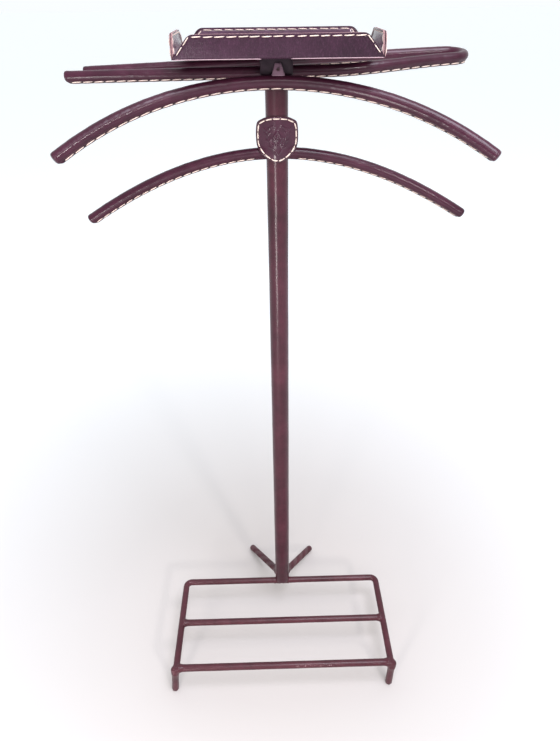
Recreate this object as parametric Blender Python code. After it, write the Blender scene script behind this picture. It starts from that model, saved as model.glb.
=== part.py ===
"""Valet stand: a welded steel frame covered in stitched leather.

Structure, from the floor up:
  * a rectangular base frame of leather-covered rods on two short front legs,
    with two splayed rear legs that start at the foot of the post;
  * one round post (steel tube in a leather sleeve);
  * a lower shoulder arm in two halves, whose roots are covered by a stitched
    leather badge made of a front and a rear panel;
  * a long bowed jacket arm welded to the front of the post;
  * a hairpin trouser bar whose front branch passes over the top of the post;
  * a leather tray on a steel plate, screwed to a yoke on top of the post.

All lengths below are in millimetres; V() turns them into metres.  The frame of
reference used by the helper functions has its origin on the floor below the
post's axis, +X to the right, +Y to the back.  POST_Y moves everything so that
the origin lies under the middle of the bounding box.
"""
import bpy
import bmesh
import math
from mathutils import Vector

# ------------------------------------------------------------------ constants
MM = 0.001
POST_X = 1.227              # post axis, from the middle of the bounding box
POST_Y = 26.342

GAP = 0.3                 # clearance kept between neighbouring pieces

# post
TUBE_R = 12.7             # 25.4 mm steel tube
TUBE_WALL = 1.5
POST_R = 14.2             # outside of the leather sleeve
POST_TOP = 1029.8

# base frame
BASE_X = -2.4             # middle of the base, from the post's axis
BASE_HALF_W = 201.2       # rail axis from the middle of the base
BASE_Z = 66.6             # height of all base rods' axes
BASE_ROD_R = 4.5
BASE_SKIN_R = 6.0
CORNER_R = 10.5           # rear corner bends
MID_Y = -94.0
FRONT_Y = -185.9
FRONT_SKIN_R = 6.3
RAIL_END_Y = -193.0
LEG_Y = -188.5
LEG_LEFT = (-205.4, -211.0)       # x of the front leg's axis at the rail and at the floor
LEG_RIGHT = (200.3, 199.8)
REAR_SKIN_R = 6.8
REAR_TIPS = ((-66.7, 135.5), (67.1, 128.6))   # x, y of the centres of the rear legs' round tips
REAR_ROOT = (9.0, 13.0, 80.3)     # point on the rear leg's axis at the post
POST_BOTTOM = BASE_Z + BASE_SKIN_R + 0.35

# jacket arm: parabola-like droop with a small forward bow
JA_X0, JA_Y0, JA_Z0 = -1.3, -21.45, 1029.9
JA_HALF, JA_DROP2, JA_DROP4, JA_TILT, JA_BOW = 248.9, 52.4, 14.4, -0.0107, 80.0
JA_SKIN_R, JA_ROD_R, JA_BORE_R = 6.9, 5.0, 5.6

# lower arm
LA_X0, LA_Y0, LA_Z0 = -1.2, 0.0, 945.7
LA_HALF, LA_DROP2, LA_DROP4, LA_TILT, LA_BOW = 250.2, 85.4, -4.4, -0.0015, 10.0
LA_SKIN_R, LA_ROD_R, LA_BORE_R = 6.3, 4.5, 5.05

# trouser bar (hairpin, both free ends on the left)
TB_SKIN_R, TB_ROD_R, TB_BORE_R = 6.0, 4.5, 5.05
TB_NEAR_END, TB_FAR_END, TB_BEND_X = -251.8, -240.8, 220.0

# seam fin of the sewn sleeves
FIN_H, FIN_W, FIN_TILT = 2.2, 2.4, math.radians(-15.0)   # the flap leans forward
FIN_TWIST = 0.5           # radians that the flap turns under and back by a right-hand tip

# badge
BADGE_Z, BADGE_HALF_W, BADGE_HALF_H, BADGE_T = 963.4, 27.0, 27.7, 1.7
BADGE_NOSE_R = 16.3       # outer radius of the panel over the post
BADGE_EDGE_Y = 2.2        # outer face of a panel at its side edge

# tray
TRAY_X, TRAY_Z = 1.8, 1056.6
TRAY_W, TRAY_D, TRAY_H = 236.2, 117.2, 24.7
TRAY_SLANT, TRAY_LEAN = 21.0, math.radians(6.5)
TRAY_SKIN, TRAY_LINING, TRAY_PLATE = 1.5, 1.3, 3.0

# yoke on the post
YOKE_HALF_X, YOKE_TOP = 18.5, 1056.3
SCREW_X = 11.0


# -------------------------------------------------------------------- helpers
for _ob in list(bpy.data.objects):
    bpy.data.objects.remove(_ob, do_unlink=True)

COLL = bpy.context.scene.collection


def V(p):
    """millimetres from the post's foot to metres in the part's own frame"""
    return Vector(((p[0] + POST_X) * MM, (p[1] + POST_Y) * MM, p[2] * MM))


def material(name, rgb, rough, metal=0.0):
    m = bpy.data.materials.get(name)
    if m is None:
        m = bpy.data.materials.new(name)
        m.use_nodes = True
        b = m.node_tree.nodes["Principled BSDF"]
        b.inputs["Base Color"].default_value = (rgb[0], rgb[1], rgb[2], 1.0)
        b.inputs["Roughness"].default_value = rough
        b.inputs["Metallic"].default_value = metal
        m.diffuse_color = (rgb[0], rgb[1], rgb[2], 1.0)
    return m


LEATHER = ("burgundy_leather", (0.085, 0.028, 0.045), 0.42)
LEATHER_BASE = ("base_leather", (0.120, 0.042, 0.050), 0.46)
LEATHER_IN = ("tray_lining_leather", (0.100, 0.040, 0.062), 0.36)
STEEL = ("bare_steel", (0.45, 0.45, 0.46), 0.38, 1.0)
DARK_STEEL = ("blackened_steel", (0.02, 0.02, 0.022), 0.5, 1.0)
THREAD = ("waxed_thread", (0.78, 0.62, 0.52), 0.7)
EDGE = ("rivet_metal", (0.32, 0.24, 0.20), 0.4, 1.0)


def build(name, verts, faces, mat, smooth=True, angle=35.0, raw=False):
    me = bpy.data.meshes.new(name)
    me.from_pydata([tuple(v) if raw else tuple(V(v)) for v in verts], [], faces)
    me.update()
    bm = bmesh.new()
    bm.from_mesh(me)
    bmesh.ops.recalc_face_normals(bm, faces=bm.faces)
    bm.to_mesh(me)
    bm.free()
    if smooth:
        me.shade_smooth()
        me.set_sharp_from_angle(angle=math.radians(angle))
    ob = bpy.data.objects.new(name, me)
    COLL.objects.link(ob)
    ob.data.materials.append(material(*mat))
    return ob


def unit(v):
    v = Vector(v)
    return v / v.length


def frames(pts, ref, twist=None):
    """tangent, side and 'down' vectors along a centre line; ref is the wished down,
    twist an angle for each point that turns 'down' towards 'side'"""
    out = []
    n = len(pts)
    for i in range(n):
        a = Vector(pts[max(0, i - 1)])
        b = Vector(pts[min(n - 1, i + 1)])
        t = unit(b - a)
        d = Vector(ref) - Vector(ref).dot(t) * t
        d = unit(d)
        s = t.cross(d)
        if twist:
            c, sn = math.cos(twist[i]), math.sin(twist[i])
            d, s = d * c + s * sn, s * c - d * sn
        out.append((t, s, d))
    return out


def rings(pts, fr, prof):
    """prof: list of (side, down) offsets; returns a list of rings of points"""
    return [[Vector(p) + s * f[1] + d * f[2] for s, d in prof] for p, f in zip(pts, fr)]


def round_profile(r, n=10, start=0.0):
    return [(r * math.sin(start + 2 * math.pi * k / n), r * math.cos(start + 2 * math.pi * k / n)) for k in range(n)]


def finned_profile(r, fin_h=FIN_H, fin_w=FIN_W, tilt=FIN_TILT, n=9):
    """round section with a narrow sewn flap; the flap leans by 'tilt' to the side"""
    root = math.asin(fin_w / 2 / r)
    pts = [(-fin_w / 2, r + fin_h), (fin_w / 2, r + fin_h), (r * math.sin(root), r * math.cos(root))]
    lo = math.radians(36.0)
    for k in range(n):
        a = lo + (2 * math.pi - 2 * lo) * k / (n - 1)
        pts.append((r * math.sin(a), r * math.cos(a)))
    pts.append((-r * math.sin(root), r * math.cos(root)))
    c, s = math.cos(tilt), math.sin(tilt)
    return [(x * c + y * s, y * c - x * s) for x, y in pts]


def bore_profile(r, outer):
    """inner ring with one point for each outer point, in the same direction"""
    return [(r * x / math.hypot(x, y), r * y / math.hypot(x, y)) for x, y in outer]


def solid_tube(name, pts, ref, prof, mat, twist=None):
    fr = frames(pts, ref, twist)
    rr = rings(pts, fr, prof)
    n = len(prof)
    verts = [v for r in rr for v in r]
    faces = []
    for i in range(len(pts) - 1):
        for k in range(n):
            a, b = i * n + k, i * n + (k + 1) % n
            faces.append((a, b, b + n, a + n))
    faces.append(tuple(range(n))[::-1])
    faces.append(tuple(range((len(pts) - 1) * n, len(pts) * n)))
    return build(name, verts, faces, mat)


def sleeve(name, pts, ref, outer, inner, mat, twist=None):
    """open-ended leather sleeve: outer and inner rings joined at both ends"""
    fr = frames(pts, ref, twist)
    ro, ri = rings(pts, fr, outer), rings(pts, fr, inner)
    n, m = len(outer), len(pts)
    verts = [v for r in ro for v in r] + [v for r in ri for v in r]
    off = n * m
    faces = []
    for i in range(m - 1):
        for k in range(n):
            a, b = i * n + k, i * n + (k + 1) % n
            faces.append((a, b, b + n, a + n))
            faces.append((off + a, off + a + n, off + b + n, off + b))
    for i in (0, m - 1):
        for k in range(n):
            a, b = i * n + k, i * n + (k + 1) % n
            faces.append((a, off + a, off + b, b) if i == 0 else (a, b, off + b, off + a))
    return build(name, verts, faces, mat)


def turned_profile(prof, angle):
    c, s = math.cos(angle), math.sin(angle)
    return [(x * c + y * s, y * c - x * s) for x, y in prof]


def end_cap(name, p_end, direction, ref, prof, mat, thick=1.4, dome=1.0):
    """leather disc that closes a sleeve, 'direction' points out of the sleeve"""
    t = unit(direction)
    d = unit(Vector(ref) - Vector(ref).dot(t) * t)
    s = t.cross(d)
    n = len(prof)
    levels = [(GAP, 1.0), (GAP + thick * 0.6, 1.0), (GAP + thick, 0.86), (GAP + thick + dome * 0.7, 0.5)]
    verts = []
    for h, k in levels:
        verts += [Vector(p_end) + t * h + s * (x * k) + d * (y * k) for x, y in prof]
    verts.append(Vector(p_end) + t * (GAP + thick + dome))
    faces = [tuple(range(n))[::-1]]
    for i in range(len(levels) - 1):
        for k in range(n):
            a, b = i * n + k, i * n + (k + 1) % n
            faces.append((a, b, b + n, a + n))
    top = (len(levels) - 1) * n
    for k in range(n):
        faces.append((top + k, top + (k + 1) % n, len(verts) - 1))
    return build(name, verts, faces, mat)


def box_prism(name, outline, x0, x1, mat):
    """outline: closed list of (y, z); extruded along X"""
    n = len(outline)
    verts = [(x0, y, z) for y, z in outline] + [(x1, y, z) for y, z in outline]
    faces = [tuple(range(n)), tuple(range(n, 2 * n))[::-1]]
    for k in range(n):
        faces.append((k, (k + 1) % n, n + (k + 1) % n, n + k))
    return build(name, verts, faces, mat, smooth=False)


def cutter(name, p0, p1, r, n=12):
    """round tool body along p0-p1, not part of the stand"""
    ref = (0, 0, -1) if abs(unit(Vector(p1) - Vector(p0)).z) < 0.9 else (0, -1, 0)
    ob = solid_tube(name, [p0, p1], ref, round_profile(r, n), STEEL)
    ob.hide_render = True
    ob.display_type = "WIRE"
    return ob


def cut(ob, tool):
    m = ob.modifiers.new("cut_" + tool.name, "BOOLEAN")
    m.operation = "DIFFERENCE"
    m.solver = "EXACT"
    m.object = tool


def turned(name, prof, axis_xy, mat, n=20):
    """prof: closed list of (radius, z) turned about a vertical axis; radius 0 is a pole"""
    verts, idx = [], []
    for r, z in prof:
        if r < 1e-6:
            idx.append([len(verts)] * n)
            verts.append((axis_xy[0], axis_xy[1], z))
        else:
            idx.append([len(verts) + k for k in range(n)])
            for k in range(n):
                a = 2 * math.pi * (k + 0.5) / n
                verts.append((axis_xy[0] + r * math.cos(a), axis_xy[1] + r * math.sin(a), z))
    faces = []
    m = len(prof)
    for i in range(m):
        j = (i + 1) % m
        for k in range(n):
            q = [idx[i][k], idx[i][(k + 1) % n], idx[j][(k + 1) % n], idx[j][k]]
            f = []
            for v in q:
                if v not in f:
                    f.append(v)
            if len(f) >= 3:
                faces.append(tuple(f))
    return build(name, verts, faces, mat)


# ----------------------------------------------------------------- centre lines
def jacket_arm(s):
    """s runs from -1 (left tip) to 1 (right tip)"""
    x = JA_HALF * s
    return Vector((JA_X0 + x, JA_Y0 - JA_BOW * s * s, JA_Z0 - JA_DROP2 * s ** 2 - JA_DROP4 * s ** 4 + JA_TILT * x))


def lower_arm(s):
    x = LA_HALF * s
    return Vector((LA_X0 + x, LA_Y0 - LA_BOW * s * s, LA_Z0 - LA_DROP2 * s ** 2 - LA_DROP4 * s ** 4 + LA_TILT * x))


def ease(t):
    t = min(1.0, max(0.0, t))
    return t * t * (3 - 2 * t)


def near_branch(x):
    return Vector((x, 3.0 + 35.0 * ease((x - 60.0) / 190.0), 1038.4 + 0.0105 * x + 6.6 * ease((x - 60.0) / 190.0)))


def far_branch(x):
    return Vector((x, 63.2 + 0.0646 * x, 1043.6 + 0.0315 * x))


def trouser_bar():
    """points of the whole hairpin, from the near free end round to the far one"""
    pts = [near_branch(x) for x in (TB_NEAR_END, -130.0, 0.0, 55.0)]
    pts += [near_branch(55.0 + (TB_BEND_X - 55.0) * k / 6) for k in range(1, 7)]
    a, b = near_branch(TB_BEND_X), far_branch(TB_BEND_X)
    mid = (a + b) / 2
    half = (b - a) / 2
    for k in range(1, 8):
        t = math.pi * k / 8
        pts.append(mid - half * math.cos(t) + Vector((half.length * math.sin(t), 0, 0)))
    pts += [b, far_branch(110.0), far_branch(0.0), far_branch(-120.0), far_branch(TB_FAR_END)]
    return pts


DOWN = (0, 0, -1)

# ------------------------------------------------------------------------ post
ri = TUBE_R - TUBE_WALL
turned("post_tube", [(TUBE_R, POST_BOTTOM), (TUBE_R, POST_TOP), (ri, POST_TOP), (ri, POST_BOTTOM)], (0, 0), STEEL, 20)
post_leather = turned("post_leather", [(POST_R, POST_BOTTOM), (POST_R, POST_TOP), (TUBE_R + 0.35, POST_TOP), (TUBE_R + 0.35, POST_BOTTOM)], (0, 0), LEATHER, 20)
foot_neck = BASE_Z + BASE_ROD_R + 0.35      # the neck reaches the bar's rod through its leather
turned("post_foot_plug", [(0, POST_BOTTOM + 8), (ri - 0.35, POST_BOTTOM + 8), (ri - 0.35, POST_BOTTOM + 0.2), (3.9, POST_BOTTOM + 0.2), (3.9, foot_neck), (0, foot_neck)], (0, 0), STEEL, 20)
turned("post_top_plug", [(0, POST_TOP), (ri - 0.35, POST_TOP), (ri - 0.35, POST_TOP - 12), (0, POST_TOP - 12)], (0, 0), STEEL, 20)

# ------------------------------------------------------------------ jacket arm
NJ = 26
ja_pts = [jacket_arm(-1 + 2 * k / NJ) for k in range(NJ + 1)]
ja_out = finned_profile(JA_SKIN_R)
ja_twist = [FIN_TWIST * max(0.0, -1 + 2 * k / NJ) for k in range(NJ + 1)]
ja_leather = sleeve("jacket_arm_leather", ja_pts, DOWN, ja_out, bore_profile(JA_BORE_R, ja_out), LEATHER, ja_twist)
solid_tube("jacket_arm_rod", [jacket_arm(-0.992 + 1.984 * k / NJ) for k in range(NJ + 1)], DOWN, bore_profile(JA_ROD_R, ja_out), STEEL, ja_twist)
end_cap("jacket_arm_end_left", ja_pts[0], ja_pts[0] - ja_pts[1], DOWN, [(-x, y) for x, y in ja_out], LEATHER)
end_cap("jacket_arm_end_right", ja_pts[-1], ja_pts[-1] - ja_pts[-2], DOWN, turned_profile(ja_out, FIN_TWIST), LEATHER)
stud = solid_tube("jacket_arm_weld_stud", [(0, -(TUBE_R + 0.45), JA_Z0), (0, JA_Y0 + JA_ROD_R + 0.35, JA_Z0)], DOWN, round_profile(3.8, 12), STEEL)
stud_hole = cutter("tool_stud_hole", (0, -(TUBE_R - 3), JA_Z0), (0, JA_Y0 + 1.0, JA_Z0), 4.3)
cut(post_leather, stud_hole)
cut(ja_leather, stud_hole)


def thread_line(curve, s0, s1, n, radial, tilt=FIN_TILT):
    """plain run of thread in front of a seam fin; radial is the height from the rod's axis"""
    pts = [curve(s0 + (s1 - s0) * k / n) for k in range(n + 1)]
    out = []
    tw = [FIN_TWIST * max(0.0, s0 + (s1 - s0) * k / n) for k in range(n + 1)]
    for p, (t, s, d) in zip(pts, frames(pts, DOWN, tw)):
        c, sn = math.cos(tilt), math.sin(tilt)
        x, y = -(FIN_W / 2 + 0.75), radial
        out.append(p + s * (x * c + y * sn) + d * (y * c - x * sn))
    return out


solid_tube("jacket_arm_thread", thread_line(jacket_arm, -0.985, 0.985, 24, JA_SKIN_R + 1.2), DOWN, round_profile(0.4, 5), THREAD)

# ------------------------------------------------------------------- lower arm
NL = 13
la_out = finned_profile(LA_SKIN_R)
for side, sg in (("left", -1), ("right", 1)):
    s_root = (POST_R + 0.6 - sg * LA_X0) / LA_HALF
    s_rod = (TUBE_R + 0.4 - sg * LA_X0) / LA_HALF
    prof = la_out if sg > 0 else [(-x, y) for x, y in la_out]
    pts = [lower_arm(sg * (s_root + (1 - s_root) * k / NL)) for k in range(NL + 1)]
    rod = [lower_arm(sg * (s_rod + (0.992 - s_rod) * k / NL)) for k in range(NL + 1)]
    twist = [(FIN_TWIST if sg > 0 else 0.0) * (s_root + (1 - s_root) * k / NL) for k in range(NL + 1)]
    sleeve("lower_arm_leather_" + side, pts, DOWN, prof, bore_profile(LA_BORE_R, prof), LEATHER, twist)
    solid_tube("lower_arm_rod_" + side, rod, DOWN, bore_profile(LA_ROD_R, prof), STEEL, twist)
    end_cap("lower_arm_end_" + side, pts[-1], pts[-1] - pts[-2], DOWN, turned_profile(prof, twist[-1]), LEATHER)
    tl = [lower_arm(sg * (0.13 + (0.985 - 0.13) * k / NL)) for k in range(NL + 1)]
    tpts = []
    tw = [(FIN_TWIST if sg > 0 else 0.0) * (0.13 + (0.985 - 0.13) * k / NL) for k in range(NL + 1)]
    for p, (t, s, d) in zip(tl, frames(tl, DOWN, tw)):
        c, sn = math.cos(FIN_TILT), math.sin(FIN_TILT)
        x, y = -(FIN_W / 2 + 0.75), LA_SKIN_R + 1.2
        tpts.append(p + sg * s * (x * c + y * sn) + d * (y * c - x * sn))
    solid_tube("lower_arm_thread_" + side, tpts, DOWN, round_profile(0.4, 5), THREAD)
la_hole = cutter("tool_lower_arm_hole", (-(POST_R + 6), LA_Y0, LA_Z0), (POST_R + 6, LA_Y0, LA_Z0), 5.4)
cut(post_leather, la_hole)

# ----------------------------------------------------------------- trouser bar
tb_pts = trouser_bar()
tb_out = finned_profile(TB_SKIN_R)
sleeve("trouser_bar_leather", tb_pts, DOWN, tb_out, bore_profile(TB_BORE_R, tb_out), LEATHER)
rod_pts = list(tb_pts)
rod_pts[0] = near_branch(TB_NEAR_END + 1.5)
rod_pts[-1] = far_branch(TB_FAR_END + 1.5)
solid_tube("trouser_bar_rod", rod_pts, DOWN, bore_profile(TB_ROD_R, tb_out), STEEL)
end_cap("trouser_bar_end_near", tb_pts[0], tb_pts[0] - tb_pts[1], DOWN, [(-x, y) for x, y in tb_out], LEATHER)
end_cap("trouser_bar_end_far", tb_pts[-1], tb_pts[-1] - tb_pts[-2], DOWN, tb_out, LEATHER)
tb_thread = []
for p, (t, s, d) in zip(tb_pts, frames(tb_pts, DOWN)):
    c, sn = math.cos(FIN_TILT), math.sin(FIN_TILT)
    x, y = -(FIN_W / 2 + 0.75), TB_SKIN_R + 1.2
    tb_thread.append(p + s * (x * c + y * sn) + d * (y * c - x * sn))
tb_thread[0] = tb_thread[0] + Vector((3, 0, 0))
tb_thread[-1] = tb_thread[-1] + Vector((3, 0, 0))
solid_tube("trouser_bar_thread", tb_thread, DOWN, round_profile(0.4, 5), THREAD)

# ------------------------------------------------------- yoke, cover and gusset
nb = near_branch(0.0)
y0, y1, zt = nb.y - TB_SKIN_R - 0.5, nb.y + TB_SKIN_R + 0.5, nb.z + TB_SKIN_R + 0.7
yoke = box_prism("post_yoke", [(-12.7, POST_TOP + GAP), (y0 - 0.5, POST_TOP + GAP), (y0 - 0.5, zt), (y1, zt), (y1, POST_TOP + GAP), (13.9, POST_TOP + GAP), (26.0, 1038.0), (26.0, YOKE_TOP), (-12.7, YOKE_TOP)], -YOKE_HALF_X, YOKE_HALF_X, DARK_STEEL)


def ring_cover():
    """leather band round the yoke, notched for the trouser bar on both sides"""
    zb, ztop = JA_Z0 + JA_SKIN_R + 0.5, TRAY_Z - GAP
    ox, ix = YOKE_HALF_X + 2.2, YOKE_HALF_X + 0.4
    of, nf, ob_, ib = -16.2, -14.3, 28.2, 26.4
    verts, faces = [], []
    for z in (zb, ztop):
        verts += [(-ox, of, z), (ox, of, z), (ox, ob_, z), (-ox, ob_, z)]
        verts += [(-ix, nf, z), (ix, nf, z), (ix, ib, z), (-ix, ib, z)]
    for k in range(4):
        j = (k + 1) % 4
        faces += [(k, j, 8 + j, 8 + k), (4 + k, 12 + k, 12 + j, 4 + j)]
        faces += [(k, 4 + k, 4 + j, j), (8 + k, 8 + j, 12 + j, 12 + k)]
    return build("post_yoke_cover", verts, faces, LEATHER, smooth=False)


cover = ring_cover()
notch = box_prism("tool_yoke_notch", [(y0 - 0.6, 1020.0), (y1 + 0.3, 1020.0), (y1 + 0.3, zt + 0.3), (y0 - 0.6, zt + 0.3)], -40, 40, STEEL)
notch.hide_render = True
notch.display_type = "WIRE"
cut(cover, notch)

# tapered gusset between the jacket arm's top and the yoke cover, with its rivet
gz = JA_Z0 + JA_SKIN_R + 0.45
gx = 1.8
gus = [(gx - 8.0, -25.6, gz), (gx + 8.0, -25.6, gz), (gx + 8.0, -16.6, gz), (gx - 8.0, -16.6, gz),
       (gx - 3.3, -17.6, gz + 11.5), (gx + 3.3, -17.6, gz + 11.5), (gx + 3.3, -16.6, gz + 11.5), (gx - 3.3, -16.6, gz + 11.5)]
build("arm_gusset", gus, [(0, 3, 2, 1), (4, 5, 6, 7), (0, 1, 5, 4), (1, 2, 6, 5), (2, 3, 7, 6), (3, 0, 4, 7)], LEATHER, smooth=False)
g_n = unit((0.0, -11.5, 8.0))
g_p = Vector((gx, -22.1, gz + 5.0))
solid_tube("gusset_rivet", [g_p + g_n * 0.35, g_p + g_n * 1.2, g_p + g_n * 1.5], (0, 0, -1), round_profile(1.7, 10), EDGE)

# ----------------------------------------------------------------------- badge
SHIELD = [(0.0, 1.0), (0.35, 0.972), (0.574, 0.905), (0.76, 0.81), (0.904, 0.725), (0.97, 0.563), (1.0, 0.176), (0.978, -0.282), (0.907, -0.405), (0.73, -0.644), (0.50, -0.838), (0.20, -0.985), (0.0, -1.0)]


def shield_half_span(x):
    """lowest and highest z of the shield at |x|, both measured from its middle"""
    u = min(abs(x) / BADGE_HALF_W, 0.985)
    hi = lo = 0.0
    for (x0, z0), (x1, z1) in zip(SHIELD[:-1], SHIELD[1:]):
        if x0 != x1 and min(x0, x1) <= u <= max(x0, x1):
            z = z0 + (z1 - z0) * (u - x0) / (x1 - x0)
            if x1 > x0:
                hi = z
            else:
                lo = z
    return lo * BADGE_HALF_H, hi * BADGE_HALF_H


def panel_depth(x, z, nose, edge, arm_r):
    """distance in front of the post's axis: wraps the post, flares straight to the
    side seam and bulges over the root of the lower arm"""
    px = BADGE_HALF_W + 0.5
    d = math.hypot(px, edge)
    a = math.atan2(edge, px) + math.acos(nose / d)
    tx, ty = nose * math.cos(a), nose * math.sin(a)
    ax = abs(x)
    if ax <= tx:
        y = math.sqrt(nose * nose - ax * ax)
    else:
        y = ty + (edge - ty) * (ax - tx) / (px - tx)
    h = arm_r * arm_r - (BADGE_Z + z + 1.0 - lower_arm((x - LA_X0) / LA_HALF).z) ** 2
    bulge = math.sqrt(h) if h > 0 else 0.0
    return max(y, bulge)


BADGE_COLS = 18
BADGE_ROWS = 12
ARM_BULGE = LA_SKIN_R + FIN_H + 0.7


def badge_columns(shrink=1.0, lower=0.0):
    """grid of (x, z) over the shield; 'lower' brings the top edge down"""
    out = []
    for i in range(BADGE_COLS + 1):
        x = BADGE_HALF_W * 0.985 * (-1 + 2 * i / BADGE_COLS)
        lo, hi = shield_half_span(x)
        hi -= lower
        out.append([(x * shrink, (lo + (hi - lo) * j / BADGE_ROWS) * shrink) for j in range(BADGE_ROWS + 1)])
    return out


def badge_panel(name, sign, lower=0.0):
    cols = badge_columns(1.0, lower)
    nx, nz = len(cols), len(cols[0])
    outer, inner = [], []
    for c in cols:
        for x, z in c:
            outer.append((x, sign * panel_depth(x, z, BADGE_NOSE_R, BADGE_EDGE_Y, ARM_BULGE + BADGE_T), BADGE_Z + z))
            inner.append((x, sign * panel_depth(x, z, BADGE_NOSE_R - BADGE_T, BADGE_EDGE_Y - BADGE_T + 0.2, ARM_BULGE), BADGE_Z + z))
    m = nx * nz
    faces = []
    for i in range(nx - 1):
        for j in range(nz - 1):
            q = (i * nz + j, (i + 1) * nz + j, (i + 1) * nz + j + 1, i * nz + j + 1)
            faces.append(q)
            faces.append(tuple(m + v for v in q[::-1]))
    rim = [(i, 0) for i in range(nx)] + [(nx - 1, j) for j in range(1, nz)]
    rim += [(i, nz - 1) for i in range(nx - 2, -1, -1)] + [(0, j) for j in range(nz - 2, 0, -1)]
    ids = [i * nz + j for i, j in rim]
    for k in range(len(ids)):
        a, b = ids[k], ids[(k + 1) % len(ids)]
        faces.append((a, m + a, m + b, b))
    return build(name, outer + inner, faces, LEATHER, angle=60)


badge_panel("badge_front", -1)
badge_panel("badge_back", 1, 7.0)
def badge_rim(shrink):
    cols = badge_columns(shrink)
    rim = [c[-1] for c in cols] + [cols[-1][BADGE_ROWS // 2]] + [c[0] for c in cols[::-1]] + [cols[0][BADGE_ROWS // 2]]
    return rim


bt = [(x, -panel_depth(x, z, BADGE_NOSE_R, BADGE_EDGE_Y, ARM_BULGE + BADGE_T) - 2.0, BADGE_Z + z) for x, z in badge_rim(0.9)]


def closed_thread(name, pts, r):
    """thin ring of thread along a closed line of points"""
    n, m = len(pts), 5
    verts, faces = [], []
    for i in range(n):
        a, b = Vector(pts[i - 1]), Vector(pts[(i + 1) % n])
        t = unit(b - a)
        d = unit(Vector((0, -1, 0)) - Vector((0, -1, 0)).dot(t) * t)
        s = t.cross(d)
        verts += [Vector(pts[i]) + s * (r * math.sin(2 * math.pi * k / m)) + d * (r * math.cos(2 * math.pi * k / m)) for k in range(m)]
    for i in range(n):
        for k in range(m):
            a, b = i * m + k, i * m + (k + 1) % m
            c, e = ((i + 1) % n) * m + (k + 1) % m, ((i + 1) % n) * m + k
            faces.append((a, b, c, e))
    return build(name, verts, faces, THREAD)


closed_thread("badge_thread", bt, 0.45)

# ------------------------------------------------------------------------ tray


def tray_sheet(name, w, d, z, h, slant, thick, mat):
    """one leather blank of even thickness: a floor and four flaps folded up and
    leaning outwards, with an open V at each corner"""
    sn, cs = math.sin(TRAY_LEAN), math.cos(TRAY_LEAN)
    hw, hd = w / 2, d / 2
    o, u = h * sn, h * cs
    e = thick / cs - thick * sn / cs          # floor corner of the inner face
    corners = ((-1, -1), (1, -1), (1, 1), (-1, 1))
    verts = [(sx * hw, sy * hd, z) for sx, sy in corners]
    verts += [(sx * (hw - e), sy * (hd - e), z + thick) for sx, sy in corners]
    faces = [(0, 3, 2, 1), (4, 5, 6, 7)]
    for k, (nx, ny) in enumerate(((0, -1), (1, 0), (0, 1), (-1, 0))):
        a, b = k, (k + 1) % 4
        i = len(verts)
        for sx, sy in (corners[a], corners[b]):
            if nx == 0:
                p = (sx * (hw - slant), ny * (hd + o), z + u)
            else:
                p = (nx * (hw + o), sy * (hd - slant), z + u)
            verts.append(p)
            verts.append((p[0] - nx * thick * cs, p[1] - ny * thick * cs, p[2] + thick * sn))
        # i, i+1: outer and inner top above corner a; i+2, i+3: above corner b
        faces += [(a, b, i + 2, i), (4 + a, i + 1, i + 3, 4 + b)]
        faces += [(i, i + 2, i + 3, i + 1), (a, i, i + 1, 4 + a), (b, 4 + b, i + 3, i + 2)]
    return build(name, [(x + TRAY_X, y, zz) for x, y, zz in verts], faces, mat, smooth=False)


skin = tray_sheet("tray_shell_leather", TRAY_W, TRAY_D, TRAY_Z, TRAY_H, TRAY_SLANT, TRAY_SKIN, LEATHER)
step = TRAY_SKIN + GAP + TRAY_PLATE + GAP
grow = step * math.tan(TRAY_LEAN)
inset = (TRAY_SKIN + GAP) / math.cos(TRAY_LEAN)
lining = tray_sheet("tray_lining_leather", TRAY_W - 2 * inset + 2 * grow, TRAY_D - 2 * inset + 2 * grow, TRAY_Z + step, TRAY_H - step / math.cos(TRAY_LEAN), TRAY_SLANT - 2.0, TRAY_LINING, LEATHER_IN)
pw, pd = TRAY_W / 2 - 4.0, TRAY_D / 2 - 4.0
pz = TRAY_Z + TRAY_SKIN + GAP
plate = build("tray_plate", [(TRAY_X + x, y, z) for z in (pz, pz + TRAY_PLATE) for x, y in ((-pw, -pd), (pw, -pd), (pw, pd), (-pw, pd))],
              [(0, 3, 2, 1), (4, 5, 6, 7), (0, 1, 5, 4), (1, 2, 6, 5), (2, 3, 7, 6), (3, 0, 4, 7)], DARK_STEEL, smooth=False)
SCREW_Y = 18.0
for side, sg in (("left", -1), ("right", 1)):
    x = sg * SCREW_X
    turned("tray_screw_" + side, [(0, pz + TRAY_PLATE - 0.1), (4.4, pz + TRAY_PLATE - 0.1), (4.4, pz + TRAY_PLATE - 1.4), (2.4, pz + TRAY_PLATE - 1.4), (2.4, 1047.5), (0, 1047.5)], (x, SCREW_Y), STEEL, 12)
    shank = cutter("tool_screw_shank_" + side, (x, SCREW_Y, 1046.8), (x, SCREW_Y, 1075.0), 2.85)
    head = cutter("tool_screw_head_" + side, (x, SCREW_Y, pz + TRAY_PLATE - 1.75), (x, SCREW_Y, 1075.0), 4.85)
    shank_low = cutter("tool_screw_low_" + side, (x, SCREW_Y, 1046.8), (x, SCREW_Y, pz + 1.0), 2.85)
    cut(plate, shank)
    cut(plate, head)
    cut(skin, shank_low)
    cut(yoke, shank_low)


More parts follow.
